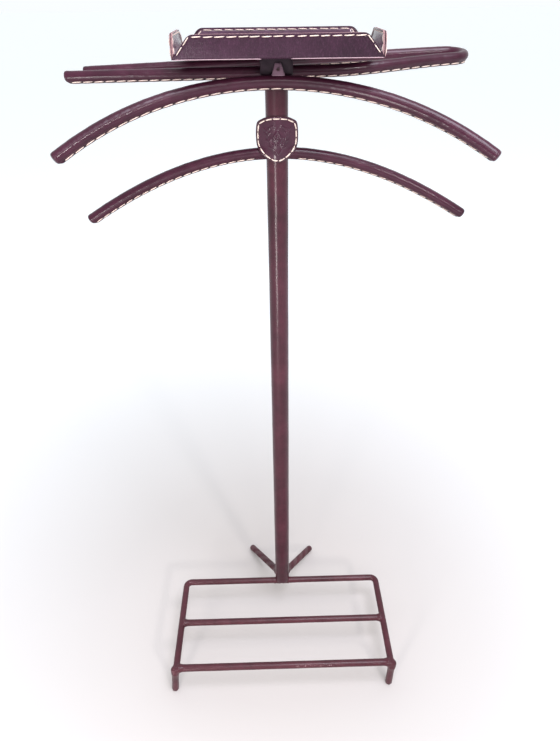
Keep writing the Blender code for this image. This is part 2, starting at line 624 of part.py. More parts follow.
def flap_thread(name, p_low0, p_top0, p_top1, p_low1, normal, mat=THREAD):
    """thread along the three free edges of a flap, just outside its outer face"""
    n = unit(normal)
    a, b, c, d = (Vector(p) + n * 0.8 for p in (p_low0, p_top0, p_top1, p_low1))
    e = 2.6

    def inset_pt(p, q0, q1):
        v0, v1 = unit(q0 - p), unit(q1 - p)
        bis = unit(v0 + v1)
        sn_ = math.sqrt(max(1e-6, 1 - (v0.dot(bis)) ** 2))
        return p + bis * (e / sn_)
    b2, c2 = inset_pt(b, a, c), inset_pt(c, b, d)
    a2 = a + (b2 - b) + unit(a - b) * 0.0 + unit(b - a) * 2.0
    d2 = d + (c2 - c) + unit(c - d) * 2.0
    return solid_tube(name, [a2, (a2 + b2) / 2, b2, (b2 * 2 + c2) / 3, (b2 + c2 * 2) / 3, c2, (c2 + d2) / 2, d2], -n, round_profile(0.4, 5), mat)


sn_l, cs_l = math.sin(TRAY_LEAN), math.cos(TRAY_LEAN)
hw, hd = TRAY_W / 2, TRAY_D / 2
o_, u_ = TRAY_H * sn_l, TRAY_H * cs_l
for name, sx, sy in (("front", 0, -1), ("back", 0, 1), ("left", -1, 0), ("right", 1, 0)):
    if sx == 0:
        low0, low1 = (-hw, sy * hd, 0), (hw, sy * hd, 0)
        top0, top1 = (-hw + TRAY_SLANT, sy * (hd + o_), u_), (hw - TRAY_SLANT, sy * (hd + o_), u_)
        nrm = (0, sy * cs_l, -sn_l)
    else:
        low0, low1 = (sx * hw, -hd, 0), (sx * hw, hd, 0)
        top0, top1 = (sx * (hw + o_), -hd + TRAY_SLANT, u_), (sx * (hw + o_), hd - TRAY_SLANT, u_)
        nrm = (sx * cs_l, 0, -sn_l)
    sh = Vector((TRAY_X, 0, TRAY_Z))
    flap_thread("tray_thread_" + name, Vector(low0) + sh, Vector(top0) + sh, Vector(top1) + sh, Vector(low1) + sh, nrm)

# ------------------------------------------------------------------ base frame
b_out = round_profile(BASE_SKIN_R, 12)
b_in = round_profile(4.85, 12)
b_rod = round_profile(BASE_ROD_R, 12)


def base_u(y_end):
    """left rail, rear corners, rear bar and right rail as one bent line"""
    xl, xr = BASE_X - BASE_HALF_W, BASE_X + BASE_HALF_W
    pts = [Vector((xl, y_end, BASE_Z)), Vector((xl, MID_Y, BASE_Z)), Vector((xl, -CORNER_R, BASE_Z))]
    for k in range(1, 6):
        a = math.pi / 2 * k / 6
        pts.append(Vector((xl + CORNER_R - CORNER_R * math.cos(a), -CORNER_R + CORNER_R * math.sin(a), BASE_Z)))
    pts += [Vector((xl + CORNER_R, 0, BASE_Z)), Vector((0, 0, BASE_Z)), Vector((xr - CORNER_R, 0, BASE_Z))]
    for k in range(1, 6):
        a = math.pi / 2 * k / 6
        pts.append(Vector((xr - CORNER_R + CORNER_R * math.sin(a), -CORNER_R + CORNER_R * math.cos(a), BASE_Z)))
    pts += [Vector((xr, -CORNER_R, BASE_Z)), Vector((xr, MID_Y, BASE_Z)), Vector((xr, y_end, BASE_Z))]
    return pts


frame_skin = sleeve("base_frame_leather", base_u(RAIL_END_Y), DOWN, b_out, b_in, LEATHER_BASE)
solid_tube("base_frame_rod", base_u(RAIL_END_Y + 0.6), DOWN, b_rod, STEEL)
cut(frame_skin, cutter("tool_post_neck", (0, 0, BASE_Z + 3.0), (0, 0, BASE_Z + 12.0), 4.4))

for side, sg, (leg_x1, leg_x0) in (("left", -1, LEG_LEFT), ("right", 1, LEG_RIGHT)):
    xr = BASE_X + sg * BASE_HALF_W
    end_cap("rail_end_cap_" + side, (xr, RAIL_END_Y, BASE_Z), (0, -1, 0), DOWN, b_out, LEATHER_BASE, thick=1.0, dome=0.6)
    # openings for the rods of the cross bars and of the front leg
    for nm, yy in (("mid", MID_Y), ("front", FRONT_Y)):
        cut(frame_skin, cutter("tool_%s_bar_%s" % (nm, side), (xr - sg * 14, yy, BASE_Z), (xr - sg * 3.0, yy, BASE_Z), 4.95))

    def leg(z):
        """point on the front leg's axis at height z"""
        return Vector((leg_x0 + (leg_x1 - leg_x0) * z / (BASE_Z - BASE_SKIN_R), LEG_Y, z))
    cut(frame_skin, cutter("tool_leg_" + side, leg(BASE_Z - 12), leg(BASE_Z - 3.0), 4.95))
    # front leg: rod, sleeve and foot cap
    sleeve("front_leg_leather_" + side, [leg(BASE_Z - BASE_SKIN_R - 0.5), leg(5.9)], (0, -1, 0), b_out, b_in, LEATHER_BASE)
    solid_tube("front_leg_rod_" + side, [leg(BASE_Z - BASE_ROD_R - 0.55), leg(6.3)], (0, -1, 0), b_rod, STEEL)
    turned("front_foot_cap_" + side, [(0, 4.9), (6.0, 4.9), (6.0, 2.2), (5.2, 0.7), (4.2, 0.0), (0, 0.0)], (leg_x0, LEG_Y), LEATHER_BASE, 16)

x_in = BASE_HALF_W - BASE_SKIN_R - 0.35
x_rod = BASE_HALF_W - BASE_ROD_R - 0.4
for nm, yy, rr in (("middle", MID_Y, BASE_SKIN_R), ("front", FRONT_Y, FRONT_SKIN_R)):
    out = round_profile(rr, 12)
    sleeve(nm + "_bar_leather", [(BASE_X - x_in, yy, BASE_Z), (BASE_X + x_in, yy, BASE_Z)], DOWN, out, b_in, LEATHER_BASE)
    solid_tube(nm + "_bar_rod", [(BASE_X - x_rod, yy, BASE_Z), (BASE_X + x_rod, yy, BASE_Z)], DOWN, b_rod, STEEL)

# rear legs
r_out = round_profile(REAR_SKIN_R, 12)
for side, sg, tip_xy in (("left", -1, REAR_TIPS[0]), ("right", 1, REAR_TIPS[1])):
    root = Vector((sg * REAR_ROOT[0], REAR_ROOT[1], REAR_ROOT[2]))
    tip = Vector((tip_xy[0], tip_xy[1], REAR_SKIN_R))
    ax = unit(tip - root)

    def clear_start(radius, keep, z_clear=None):
        """first point on the axis where a square-cut end of this radius clears the post"""
        k = 0.0
        while k < 40:
            c = root + ax * k
            d = unit(Vector(DOWN) - Vector(DOWN).dot(ax) * ax)
            s = ax.cross(d)
            pts = [c + s * (radius * math.sin(a * math.pi / 12)) + d * (radius * math.cos(a * math.pi / 12)) for a in range(24)]
            if min(math.hypot(p.x, p.y) for p in pts) > keep and (z_clear is None or min(math.hypot(p.y, p.z - BASE_Z) for p in pts) > z_clear):
                return c
            k += 0.25
        return root
    s_skin = clear_start(REAR_SKIN_R, POST_R + 0.35, BASE_SKIN_R + 0.35)
    s_rod = clear_start(BASE_ROD_R, TUBE_R + 0.35)
    sleeve("rear_leg_leather_" + side, [s_skin, tip - ax * 0.3], DOWN, r_out, b_in, LEATHER_BASE)
    solid_tube("rear_leg_rod_" + side, [s_rod, tip - ax * 1.0], DOWN, b_rod, STEEL)
    t = cutter("tool_rear_leg_" + side, root - ax * 4.0, root + ax * 30.0, 4.95)
    cut(post_leather, t)
    # rounded tip that touches the floor
    d = unit(Vector(DOWN) - Vector(DOWN).dot(ax) * ax)
    s = ax.cross(d)
    down_polar = math.acos(max(-1, min(1, Vector(DOWN).dot(ax))))
    verts, faces, n = [], [], 12
    for pol in (math.pi / 2, down_polar, down_polar * 0.62, down_polar * 0.3):
        verts += [tip + ax * (REAR_SKIN_R * math.cos(pol)) + s * (REAR_SKIN_R * math.sin(pol) * math.sin(2 * math.pi * k / n)) + d * (REAR_SKIN_R * math.sin(pol) * math.cos(2 * math.pi * k / n)) for k in range(n)]
    verts.append(tip + ax * REAR_SKIN_R)
    faces.append(tuple(range(n))[::-1])
    for i in range(3):
        for k in range(n):
            a, b = i * n + k, i * n + (k + 1) % n
            faces.append((a, b, b + n, a + n))
    for k in range(n):
        faces.append((3 * n + k, 3 * n + (k + 1) % n, 4 * n))
    build("rear_foot_cap_" + side, verts, faces, LEATHER_BASE)
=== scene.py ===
"""Looks for the leather valet stand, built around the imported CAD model.

Lengths below are millimetres in the "post frame" (origin on the floor under the
post's axis, +X right, +Y back, +Z up); M() turns them into metres in the row
frame.  The centre lines repeat the formulas of the CAD model.
"""
import bpy
import math
import numpy as np
from mathutils import Vector, Matrix


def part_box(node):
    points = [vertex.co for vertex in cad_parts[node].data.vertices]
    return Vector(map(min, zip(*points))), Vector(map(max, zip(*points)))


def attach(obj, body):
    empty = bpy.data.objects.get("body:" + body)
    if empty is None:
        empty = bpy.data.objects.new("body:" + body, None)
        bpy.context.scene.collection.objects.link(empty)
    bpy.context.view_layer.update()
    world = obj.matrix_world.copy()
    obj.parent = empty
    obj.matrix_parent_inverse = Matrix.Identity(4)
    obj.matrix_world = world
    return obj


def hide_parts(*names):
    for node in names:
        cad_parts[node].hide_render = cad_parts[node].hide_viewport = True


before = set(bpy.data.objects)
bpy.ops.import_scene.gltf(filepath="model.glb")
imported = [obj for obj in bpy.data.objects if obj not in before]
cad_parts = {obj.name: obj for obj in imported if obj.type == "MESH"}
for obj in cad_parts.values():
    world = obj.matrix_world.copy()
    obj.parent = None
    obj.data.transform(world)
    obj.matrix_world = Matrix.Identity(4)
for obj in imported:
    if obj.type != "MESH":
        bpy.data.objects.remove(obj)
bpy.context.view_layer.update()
BODY = "root"

_lo, _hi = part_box("post_leather")
PX, PY = (_lo.x + _hi.x) / 2 * 1000, (_lo.y + _hi.y) / 2 * 1000
POST_Z0, POST_Z1 = _lo.z * 1000, _hi.z * 1000
OFF = np.array([PX, PY, 0.0])
RNG = np.random.default_rng(11)


def M(p):
    return (np.asarray(p, float) + OFF) * 0.001


# ------------------------------------------------------------------- materials
def new_mat(name):
    m = bpy.data.materials.new(name)
    m.use_nodes = True
    nt = m.node_tree
    b = nt.nodes["Principled BSDF"]
    return m, nt, b


def link(nt, a, b):
    nt.links.new(a, b)


def coords(nt, scale=(1, 1, 1)):
    tc = nt.nodes.new("ShaderNodeTexCoord")
    mp = nt.nodes.new("ShaderNodeMapping")
    mp.inputs["Scale"].default_value = scale
    link(nt, tc.outputs["Object"], mp.inputs["Vector"])
    return mp.outputs["Vector"]


def noise(nt, vec, scale, detail=4.0, rough=0.55):
    n = nt.nodes.new("ShaderNodeTexNoise")
    n.inputs["Scale"].default_value = scale
    n.inputs["Detail"].default_value = detail
    n.inputs["Roughness"].default_value = rough
    link(nt, vec, n.inputs["Vector"])
    return n.outputs["Fac"]


def ramp(nt, fac, stops):
    r = nt.nodes.new("ShaderNodeValToRGB")
    el = r.color_ramp.elements
    while len(el) > len(stops):
        el.remove(el[-1])
    while len(el) < len(stops):
        el.new(0.5)
    for e, (p, c) in zip(el, stops):
        e.position = p
        e.color = (c[0], c[1], c[2], 1.0) if not isinstance(c, float) else (c, c, c, 1.0)
    link(nt, fac, r.inputs["Fac"])
    return r.outputs["Color"]


def mix(nt, fac, a, b, mode="MIX"):
    m = nt.nodes.new("ShaderNodeMix")
    m.data_type = "RGBA"
    m.blend_type = mode
    for sock, v in ((m.inputs["Factor"], fac), (m.inputs[6], a), (m.inputs[7], b)):
        if hasattr(v, "links") or hasattr(v, "is_linked"):
            link(nt, v, sock)
        elif isinstance(v, (tuple, list)):
            sock.default_value = (v[0], v[1], v[2], 1.0)
        else:
            sock.default_value = v
    return m.outputs[2]


def mathn(nt, op, a, b=None):
    n = nt.nodes.new("ShaderNodeMath")
    n.operation = op
    for i, v in enumerate((a, b)):
        if v is None:
            continue
        if hasattr(v, "is_linked"):
            link(nt, v, n.inputs[i])
        else:
            n.inputs[i].default_value = v
    return n.outputs[0]


def bump(nt, height, strength, dist, prev=None):
    b = nt.nodes.new("ShaderNodeBump")
    b.inputs["Strength"].default_value = strength
    b.inputs["Distance"].default_value = dist
    link(nt, height, b.inputs["Height"])
    if prev is not None:
        link(nt, prev, b.inputs["Normal"])
    return b.outputs["Normal"]


def attr(nt, name):
    a = nt.nodes.new("ShaderNodeAttribute")
    a.attribute_name = name
    return a.outputs["Fac"]


def leather(name, dark, mid, light, rough=(0.34, 0.50), grain=0.55, stretch=(1, 1, 1), coat=0.40, spec=0.10, wear=False, wear_col=(0.62, 0.42, 0.44), streak=0.0, coat_rough=0.20):
    """dyed smooth leather: mottled colour, fine pebbled grain, soft pores and
    painted shade that darkens the stitch holes where the mesh's attribute says so"""
    m, nt, b = new_mat(name)
    v = coords(nt)
    vs = coords(nt, stretch)
    big = noise(nt, v, 14.0, 3.0)
    mid_n = noise(nt, v, 85.0, 5.0, 0.6)
    col = ramp(nt, big, [(0.30, dark), (0.52, mid), (0.75, light)])
    tone = ramp(nt, mid_n, [(0.30, 0.80), (0.70, 1.16)])
    col = mix(nt, 1.0, col, tone, "MULTIPLY")
    pores = nt.nodes.new("ShaderNodeTexVoronoi")
    pores.feature = "DISTANCE_TO_EDGE"
    pores.inputs["Scale"].default_value = 900.0
    link(nt, vs, pores.inputs["Vector"])
    edge = ramp(nt, pores.outputs["Distance"], [(0.0, 0.0), (0.22, 1.0)])
    fine = noise(nt, vs, 1500.0, 3.0, 0.6)
    creases = noise(nt, vs, 230.0, 6.0, 0.7)
    col = mix(nt, mathn(nt, "MULTIPLY", mathn(nt, "SUBTRACT", 1.0, edge), 0.30), col, (dark[0] * 0.5, dark[1] * 0.5, dark[2] * 0.5))
    if streak:
        sf = ramp(nt, noise(nt, vs, 560.0, 5.0, 0.8), [(0.50, 0.0), (0.68, 1.0)])
        col = mix(nt, mathn(nt, "MULTIPLY", sf, streak), col, (light[0] * 2.0, light[1] * 2.6, light[2] * 2.2))
    # painted shade: the stitch holes and the pinched leather round them are mixed towards near black
    hole = attr(nt, "hole")
    col = mix(nt, mathn(nt, "MULTIPLY", hole, 0.85), col, (0.010, 0.006, 0.008))
    if wear:
        w = attr(nt, "wear")
        spots = ramp(nt, noise(nt, v, 420.0, 4.0, 0.65), [(0.56, 0.0), (0.63, 1.0)])
        wf = mathn(nt, "MULTIPLY", w, spots)
        col = mix(nt, wf, col, wear_col)
    link(nt, col, b.inputs["Base Color"])
    rr = ramp(nt, noise(nt, v, 46.0, 5.0, 0.6), [(0.3, rough[0]), (0.7, rough[1])])
    link(nt, rr, b.inputs["Roughness"])
    b.inputs["Specular IOR Level"].default_value = spec
    b.inputs["Coat Weight"].default_value = coat
    b.inputs["Coat Roughness"].default_value = coat_rough
    n1 = bump(nt, edge, 0.30 * grain, 0.00022)
    n2 = bump(nt, fine, 0.25 * grain, 0.00012, n1)
    n3 = bump(nt, creases, 0.35 * grain, 0.00050, n2)
    link(nt, n3, b.inputs["Normal"])
    # the finish follows the coarser grain, which breaks up the highlights
    pebble = noise(nt, vs, 640.0, 2.0, 0.5)
    link(nt, bump(nt, pebble, 0.55 * grain, 0.00030), b.inputs["Coat Normal"])
    return m


def thread_mat(name, col_a, col_b):
    m, nt, b = new_mat(name)
    v = coords(nt)
    c = ramp(nt, noise(nt, v, 600.0, 3.0), [(0.3, col_a), (0.7, col_b)])
    # painted shade: the thread darkens where it dives into the stitch holes
    c2 = mix(nt, attr(nt, "hole"), c, (0.16, 0.09, 0.085))
    link(nt, c2, b.inputs["Base Color"])
    b.inputs["Roughness"].default_value = 0.62
    b.inputs["Sheen Weight"].default_value = 0.15
    w = nt.nodes.new("ShaderNodeTexWave")
    w.wave_type = "BANDS"
    w.bands_direction = "DIAGONAL"
    w.inputs["Scale"].default_value = 420.0
    w.inputs["Distortion"].default_value = 1.5
    link(nt, v, w.inputs["Vector"])
    link(nt, bump(nt, w.outputs["Fac"], 0.5, 0.00025), b.inputs["Normal"])
    return m


def raw_edge(name, a, b_, rough=0.7):
    m, nt, b = new_mat(name)
    v = coords(nt, (1, 1, 2.5))
    c = ramp(nt, noise(nt, v, 700.0, 5.0, 0.7), [(0.28, a), (0.72, b_)])
    link(nt, c, b.inputs["Base Color"])
    b.inputs["Roughness"].default_value = rough
    link(nt, bump(nt, noise(nt, v, 1800.0, 4.0), 0.5, 0.0002), b.inputs["Normal"])
    return m


def metal(name, rgb, rough, streak=(1, 1, 14)):
    m, nt, b = new_mat(name)
    v = coords(nt, streak)
    n = noise(nt, v, 260.0, 5.0)
    link(nt, ramp(nt, n, [(0.3, tuple(x * 0.75 for x in rgb)), (0.7, rgb)]), b.inputs["Base Color"])
    b.inputs["Metallic"].default_value = 1.0
    link(nt, ramp(nt, n, [(0.3, rough * 0.8), (0.7, rough * 1.2)]), b.inputs["Roughness"])
    link(nt, bump(nt, n, 0.2, 0.0001), b.inputs["Normal"])
    return m


L_DARK, L_MID, L_LIGHT = (0.033, 0.0062, 0.0155), (0.048, 0.0093, 0.0225), (0.066, 0.0140, 0.032)
MAT_LEATHER = leather("burgundy_leather_grain", L_DARK, L_MID, L_LIGHT)
MAT_POST = leather("post_leather_grain", (0.038, 0.0068, 0.0135), (0.056, 0.0105, 0.0200), (0.078, 0.016, 0.0285), rough=(0.30, 0.44), stretch=(1, 1, 0.6))
MAT_BASE = leather("base_leather_grain", (0.050, 0.0105, 0.016), (0.072, 0.0160, 0.024), (0.100, 0.025, 0.036), rough=(0.36, 0.54), grain=1.0, wear=True, coat=0.42, coat_rough=0.24)
MAT_TRAY = leather("tray_leather_grain", (0.019, 0.0045, 0.0130), (0.031, 0.0075, 0.021), (0.048, 0.0130, 0.033), rough=(0.36, 0.52), grain=1.9, stretch=(1.0, 1.0, 0.38), streak=0.38, coat=0.30, coat_rough=0.26)
# painted sheen: the lining is the tray's own leather, made pale lilac-grey for the glossy light on the lit inner faces
MAT_LINING_SHEEN = leather("tray_lining_painted_sheen", (0.078, 0.032, 0.060), (0.110, 0.050, 0.088), (0.150, 0.075, 0.125), rough=(0.26, 0.42), grain=0.6, coat=0.9)
MAT_BADGE = leather("badge_leather_grain", (0.034, 0.0075, 0.017), (0.048, 0.011, 0.025), (0.066, 0.016, 0.034), rough=(0.26, 0.38), grain=0.5, coat=0.55)
# painted light: the gusset is the arm's burgundy leather, made pale lilac because its upturned face catches the light
MAT_GUSSET_LIT = leather("gusset_leather_painted_light", (0.16, 0.09, 0.125), (0.21, 0.13, 0.17), (0.27, 0.18, 0.23), rough=(0.28, 0.42), grain=0.5)
# painted shade: the head's burgundy leather is made near black with almost no coat, for the shadow under the tray
MAT_HEAD_SHADE = leather("head_leather_painted_shade", (0.012, 0.004, 0.009), (0.019, 0.006, 0.014), (0.030, 0.010, 0.022), rough=(0.45, 0.62), coat=0.05, spec=0.2)
MAT_THREAD = thread_mat("waxed_thread_twist", (0.62, 0.46, 0.39), (0.86, 0.72, 0.63))
MAT_RAW = raw_edge("raw_leather_edge", (0.13, 0.045, 0.050), (0.46, 0.27, 0.27))
MAT_PALE = raw_edge("pale_cut_edge", (0.26, 0.14, 0.17), (0.50, 0.36, 0.40))
MAT_FLAP = raw_edge("flap_cut_edge", (0.050, 0.020, 0.022), (0.120, 0.060, 0.055), 0.6)
MAT_STEEL = metal("drawn_steel", (0.45, 0.45, 0.46), 0.38)
MAT_BLACK = metal("blackened_steel_coat", (0.030, 0.030, 0.033), 0.5)
MAT_RIVET = metal("rivet_dull", (0.30, 0.22, 0.22), 0.45, (1, 1, 1))


# --------------------------------------------------------------------- helpers
def mesh(name, verts, faces, mats, smooth=True, angle=None, midx=None, attrs=None):
    """verts in post-frame mm"""
    me = bpy.data.meshes.new(name)
    v = M(verts)
    me.from_pydata(v.tolist(), [], [tuple(int(i) for i in f) for f in faces])
    me.update()
    for m in (mats if isinstance(mats, (list, tuple)) else [mats]):
        me.materials.append(m)
    if midx is not None:
        me.polygons.foreach_set("material_index", np.asarray(midx, np.int32))
    for k, a in (attrs or {}).items():
        at = me.attributes.new(k, "FLOAT", "POINT")
        at.data.foreach_set("value", np.asarray(a, np.float32))
    if smooth:
        me.shade_smooth()
        if angle:
            me.set_sharp_from_angle(angle=math.radians(angle))
    ob = bpy.data.objects.new(name, me)
    bpy.context.scene.collection.objects.link(ob)
    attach(ob, BODY)
    return ob


def ease(t):
    t = np.clip(t, 0.0, 1.0)
    return t * t * (3 - 2 * t)


def norm(v):
    return v / np.maximum(np.linalg.norm(v, axis=-1, keepdims=True), 1e-12)


def arc_table(pts):
    pts = np.asarray(pts, float)
    seg = np.linalg.norm(np.diff(pts, axis=0), axis=1)
    s = np.concatenate([[0], np.cumsum(seg)])
    return pts, s


def at_arc(table, q):
    pts, s = table
    return np.stack([np.interp(q, s, pts[:, k]) for k in range(3)], 1)


def extend(pts, d0, d1):
    """lengthen a line of points straight on at its two ends"""
    pts = np.asarray(pts, float)
    a = pts[0] + norm((pts[0] - pts[1])[None])[0] * d0
    b = pts[-1] + norm((pts[-1] - pts[-2])[None])[0] * d1
    return np.vstack([a[None], pts, b[None]])


def frames_of(P, twist):
    T = norm(np.gradient(P, axis=0))
    dn = np.array([0, 0, -1.0])
    D = norm(dn - (T @ dn)[:, None] * T)
    S = np.cross(T, D)
    c, s = np.cos(twist)[:, None], np.sin(twist)[:, None]
    return T, S * c - D * s, D * c + S * s


FLAP = [(0.0, 1.80), (0.30, 2.12), (0.75, 2.20), (1.12, 2.00), (1.25, 1.55), (1.24, 0.95), (1.42, 0.30), (2.10, -0.12)]
TILT = math.radians(-15.0)
TWIST_R = 0.5


def seam_line(name, table, L, r, pitch, twist_fn, start, stop, side, r_thread=0.62, taper=(True, True), length=None, jit=0.0):
    """separate saddle stitches along one face of a sleeve's flap"""
    length = length or pitch - 1.5
    n = int((stop - start) // pitch)
    off = (stop - start - n * pitch) / 2
    verts, faces, hole = [], [], []
    K, R = 9, 7
    holes = []
    for k in range(n):
        c = start + off + (k + 0.5) * pitch + RNG.normal(0, 0.18)
        half = (length + RNG.normal(0, 0.25)) / 2
        q = c + np.linspace(-half, half, K)
        P = at_arc(table, q)
        T, S, D = frames_of(P, twist_fn(q) + TILT)
        t = np.linspace(0, 1, K)
        lift = np.sin(np.pi * t) ** 0.55
        hf = np.ones(K)
        if taper[0]:
            hf = np.minimum(hf, ease((q - 0.5) / 7.5))
        if taper[1]:
            hf = np.minimum(hf, ease((L - q - 0.5) / 7.5))
        slant = (t - 0.5) * 0.55 + RNG.normal(0, 0.06)
        y = r + 0.86 * hf - 0.45 * (1 - hf) - slant
        x = side * (1.22 + 0.16 + (-0.80 + 1.08 * lift) + 0.9 * (1 - hf))
        C = P + S * x[:, None] + D * y[:, None]
        TT = norm(np.gradient(C, axis=0))
        N1 = norm(np.cross(TT, D))
        N2 = np.cross(TT, N1)
        rad = r_thread * (0.70 + 0.34 * np.sin(np.pi * t) ** 0.4)
        base = len(verts)
        for i in range(K):
            for j in range(R):
                a = 2 * math.pi * j / R
                verts.append(C[i] + N1[i] * rad[i] * math.cos(a) + N2[i] * rad[i] * math.sin(a))
                # stitch ends carry painted shade where they enter the leather
                hole.append(0.75 if i in (0, K - 1) else (0.22 if i in (1, K - 2) else 0.0))
        for i in range(K - 1):
            for j in range(R):
                a, b = base + i * R + j, base + i * R + (j + 1) % R
                faces.append((a, a + R, b + R, b))
        faces.append(tuple(base + j for j in range(R)))
        faces.append(tuple(base + (K - 1) * R + j for j in range(R))[::-1])
        holes += [c - half, c + half]
    ob = mesh(name, np.array(verts), faces, MAT_THREAD, attrs={"hole": hole})
    return ob, holes


def sewn_sleeve(name, line, r, pitch, twist_fn, tips=(True, True), mat=MAT_LEATHER, seam_range=None, replaces=()):
    """leather sleeve sewn round a rod: round body, two-ply flap below it,
    rounded tips with a fine groove, and its stitches on both faces"""
    table = arc_table(line)
    L = table[1][-1]
    start = (seam_range[0] if seam_range else 3.0)
    stop = (L - seam_range[1] if seam_range else L - 3.0)
    obs = []
    st, holes = seam_line(name + "_stitches_front", table, L, r, pitch, twist_fn, start, stop, -1, taper=tips)
    obs.append(st)
    st2, _ = seam_line(name + "_stitches_back", table, L, r, pitch, twist_fn, start, stop, 1, taper=tips)
    obs.append(st2)
    near = np.array([0.0, 0.12, 0.35, 0.7, 1.1, 1.6, 2.1, 2.45, 2.8, 3.3, 4.0, 5.0, 6.2, 7.6])
    q = np.arange(9.0, L - 9.0, 1.45)
    q = np.concatenate([near, q, (L - near)[::-1]])
    P = at_arc(table, np.clip(q, 0, L))
    Ts = at_arc(table, np.clip(q + 1.5, 0, L)) - at_arc(table, np.clip(q - 1.5, 0, L))
    T = norm(Ts)
    dn = np.array([0, 0, -1.0])
    D = norm(dn - (T @ dn)[:, None] * T)
    S = np.cross(T, D)
    tw = twist_fn(q) + TILT
    c, s = np.cos(tw)[:, None], np.sin(tw)[:, None]
    S, D = S * c - D * s, D * c + S * s
    # scale of the section and height of the flap along the line
    e = np.ones_like(q)
    hf = np.ones_like(q)
    for on, dist in ((tips[0], q), (tips[1], L - q)):
        if on:
            t = np.clip(1 - dist / 3.6, 0, 1)
            e = np.minimum(e, (1 - t ** 2.6) ** (1 / 2.6) * 0.985 + 0.015)
            e *= 1 - 0.055 * np.exp(-((dist - 2.9) / 0.45) ** 2)
            hf = np.minimum(hf, ease((dist - 0.5) / 7.5))
    hd = np.min(np.abs(q[:, None] - np.array(holes)[None]), axis=1) if holes else np.full_like(q, 99)
    pin = np.exp(-(hd / 1.25) ** 2)
    fl = np.array(FLAP)
    n_body = 31
    lo = math.asin(3.35 / r)
    ang = np.linspace(lo, 2 * math.pi - lo, n_body)
    N = len(q)
    nf = len(fl)
    X = np.zeros((N, 2 * nf - 1 + n_body))
    Y = np.zeros_like(X)
    H = np.zeros_like(X)
    for j, (fx, fy) in enumerate(fl):
        wid = fx * (1 - 0.22 * pin * (1.0 if j < 6 else 0.3))
        yy = (r + fy - 0.18 * pin * (j < 4)) * hf + np.sqrt(r * r - fx * fx) * (1 - hf)
        X[:, j], Y[:, j] = wid, yy
        # painted shade on the flap beside each stitch, where the thread pinches the leather
        H[:, j] = pin * (1.0 if 2 <= j <= 6 else 0.25) * hf
        if j:
            k = X.shape[1] - j
            X[:, k], Y[:, k] = -wid, yy
            H[:, k] = H[:, j]
    wob = 0.05 * np.sin(q * 0.21 + 1.3) + 0.04 * np.sin(q * 0.47 + 0.4)
    for j, a in enumerate(ang):
        rr = r + wob * (1 + 0.6 * np.sin(a * 2 + q * 0.05)) + 0.03 * np.sin(q * 0.9 + 3 * a)
        # the leather is pulled in a little above the seam at every stitch hole
        pull = 0.14 * pin * math.exp(-((min(a, 2 * math.pi - a) - lo) / 0.35) ** 2) * hf
        X[:, nf + j], Y[:, nf + j] = (rr - pull) * math.sin(a), (rr - pull) * math.cos(a)
    V = P[:, None, :] + (X * e[:, None])[:, :, None] * S[:, None, :] + (Y * e[:, None])[:, :, None] * D[:, None, :]
    m = X.shape[1]
    verts = V.reshape(-1, 3)
    faces, midx = [], []
    for i in range(N - 1):
        for k in range(m):
            a, b = i * m + k, i * m + (k + 1) % m
            faces.append((a, a + m, b + m, b))
            midx.append(1 if (k < 2 or k >= m - 2) and hf[i] > 0.5 else 0)
    faces.append(tuple(range(m)))
    faces.append(tuple(range((N - 1) * m, N * m))[::-1])
    midx += [0, 0]
    ob = mesh(name, verts, faces, [mat, MAT_FLAP], midx=midx, attrs={"hole": H.reshape(-1)})
    if replaces:
        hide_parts(*replaces)
    return ob, obs


# ----------------------------------------------------------------- centre lines
def jacket_line():
    s = np.linspace(-1, 1, 401)
    x = 248.9 * s
    pts = np.stack([-1.3 + x, -21.45 - 80.0 * s * s, 1029.9 - 52.4 * s ** 2 - 14.4 * s ** 4 - 0.0107 * x], 1)
    return extend(pts, 2.5, 2.5)


def lower_line(sg, s0):
    s = sg * np.linspace(s0, 1, 301)
    x = 250.2 * s
    pts = np.stack([-1.2 + x, 0.0 - 10.0 * s * s, 945.7 - 85.4 * s ** 2 + 4.4 * s ** 4 - 0.0015 * x], 1)
    return pts


def near_branch(x):
    x = np.asarray(x, float)
    k = ease((x - 60.0) / 190.0)
    return np.stack([x, 3.0 + 35.0 * k, 1038.4 + 0.0105 * x + 6.6 * k], -1)


def far_branch(x):
    x = np.asarray(x, float)
    return np.stack([x, 63.2 + 0.0646 * x, 1043.6 + 0.0315 * x], -1)


def trouser_line():
    a, b = near_branch(220.0), far_branch(220.0)
    mid, half = (a + b) / 2, (b - a) / 2
    hl = np.linalg.norm(half)
    t = np.linspace(0, math.pi, 41)[1:-1]
    arc = mid - half * np.cos(t)[:, None] + np.array([hl, 0, 0]) * np.sin(t)[:, None]
    pts = np.vstack([near_branch(np.linspace(-251.8, 220.0, 330)), arc, far_branch(np.linspace(220.0, -240.8, 320))])
    for _ in range(30):
        pts[1:-1] = (pts[:-2] + 2 * pts[1:-1] + pts[2:]) / 4
    return extend(pts, 2.5, 2.5)


jl = jacket_line()
JL = arc_table(jl)[1][-1]
jacket, _ = sewn_sleeve("jacket_arm_wrap", jl, 6.9, 14.6, lambda q: TWIST_R * np.maximum(0.0, (q - JL / 2) / (JL / 2)),
                        replaces=("jacket_arm_leather", "jacket_arm_end_left", "jacket_arm_end_right", "jacket_arm_thread"))

for side, sg in (("left", -1), ("right", 1)):
    ll = lower_line(sg, 0.03)
    ll = extend(ll, 0, 2.5)
    if sg < 0:
        ll = ll[::-1]
    LL = arc_table(ll)[1][-1]
    tw = (lambda q, LL=LL: TWIST_R * q / LL) if sg > 0 else (lambda q: np.zeros_like(q))
    sewn_sleeve("lower_arm_wrap_" + side, ll, 6.3, 12.4, tw, tips=(sg < 0, sg > 0), seam_range=((3.0, 18.0) if sg < 0 else (18.0, 3.0)),
                replaces=("lower_arm_leather_" + side, "lower_arm_end_" + side, "lower_arm_thread_" + side))

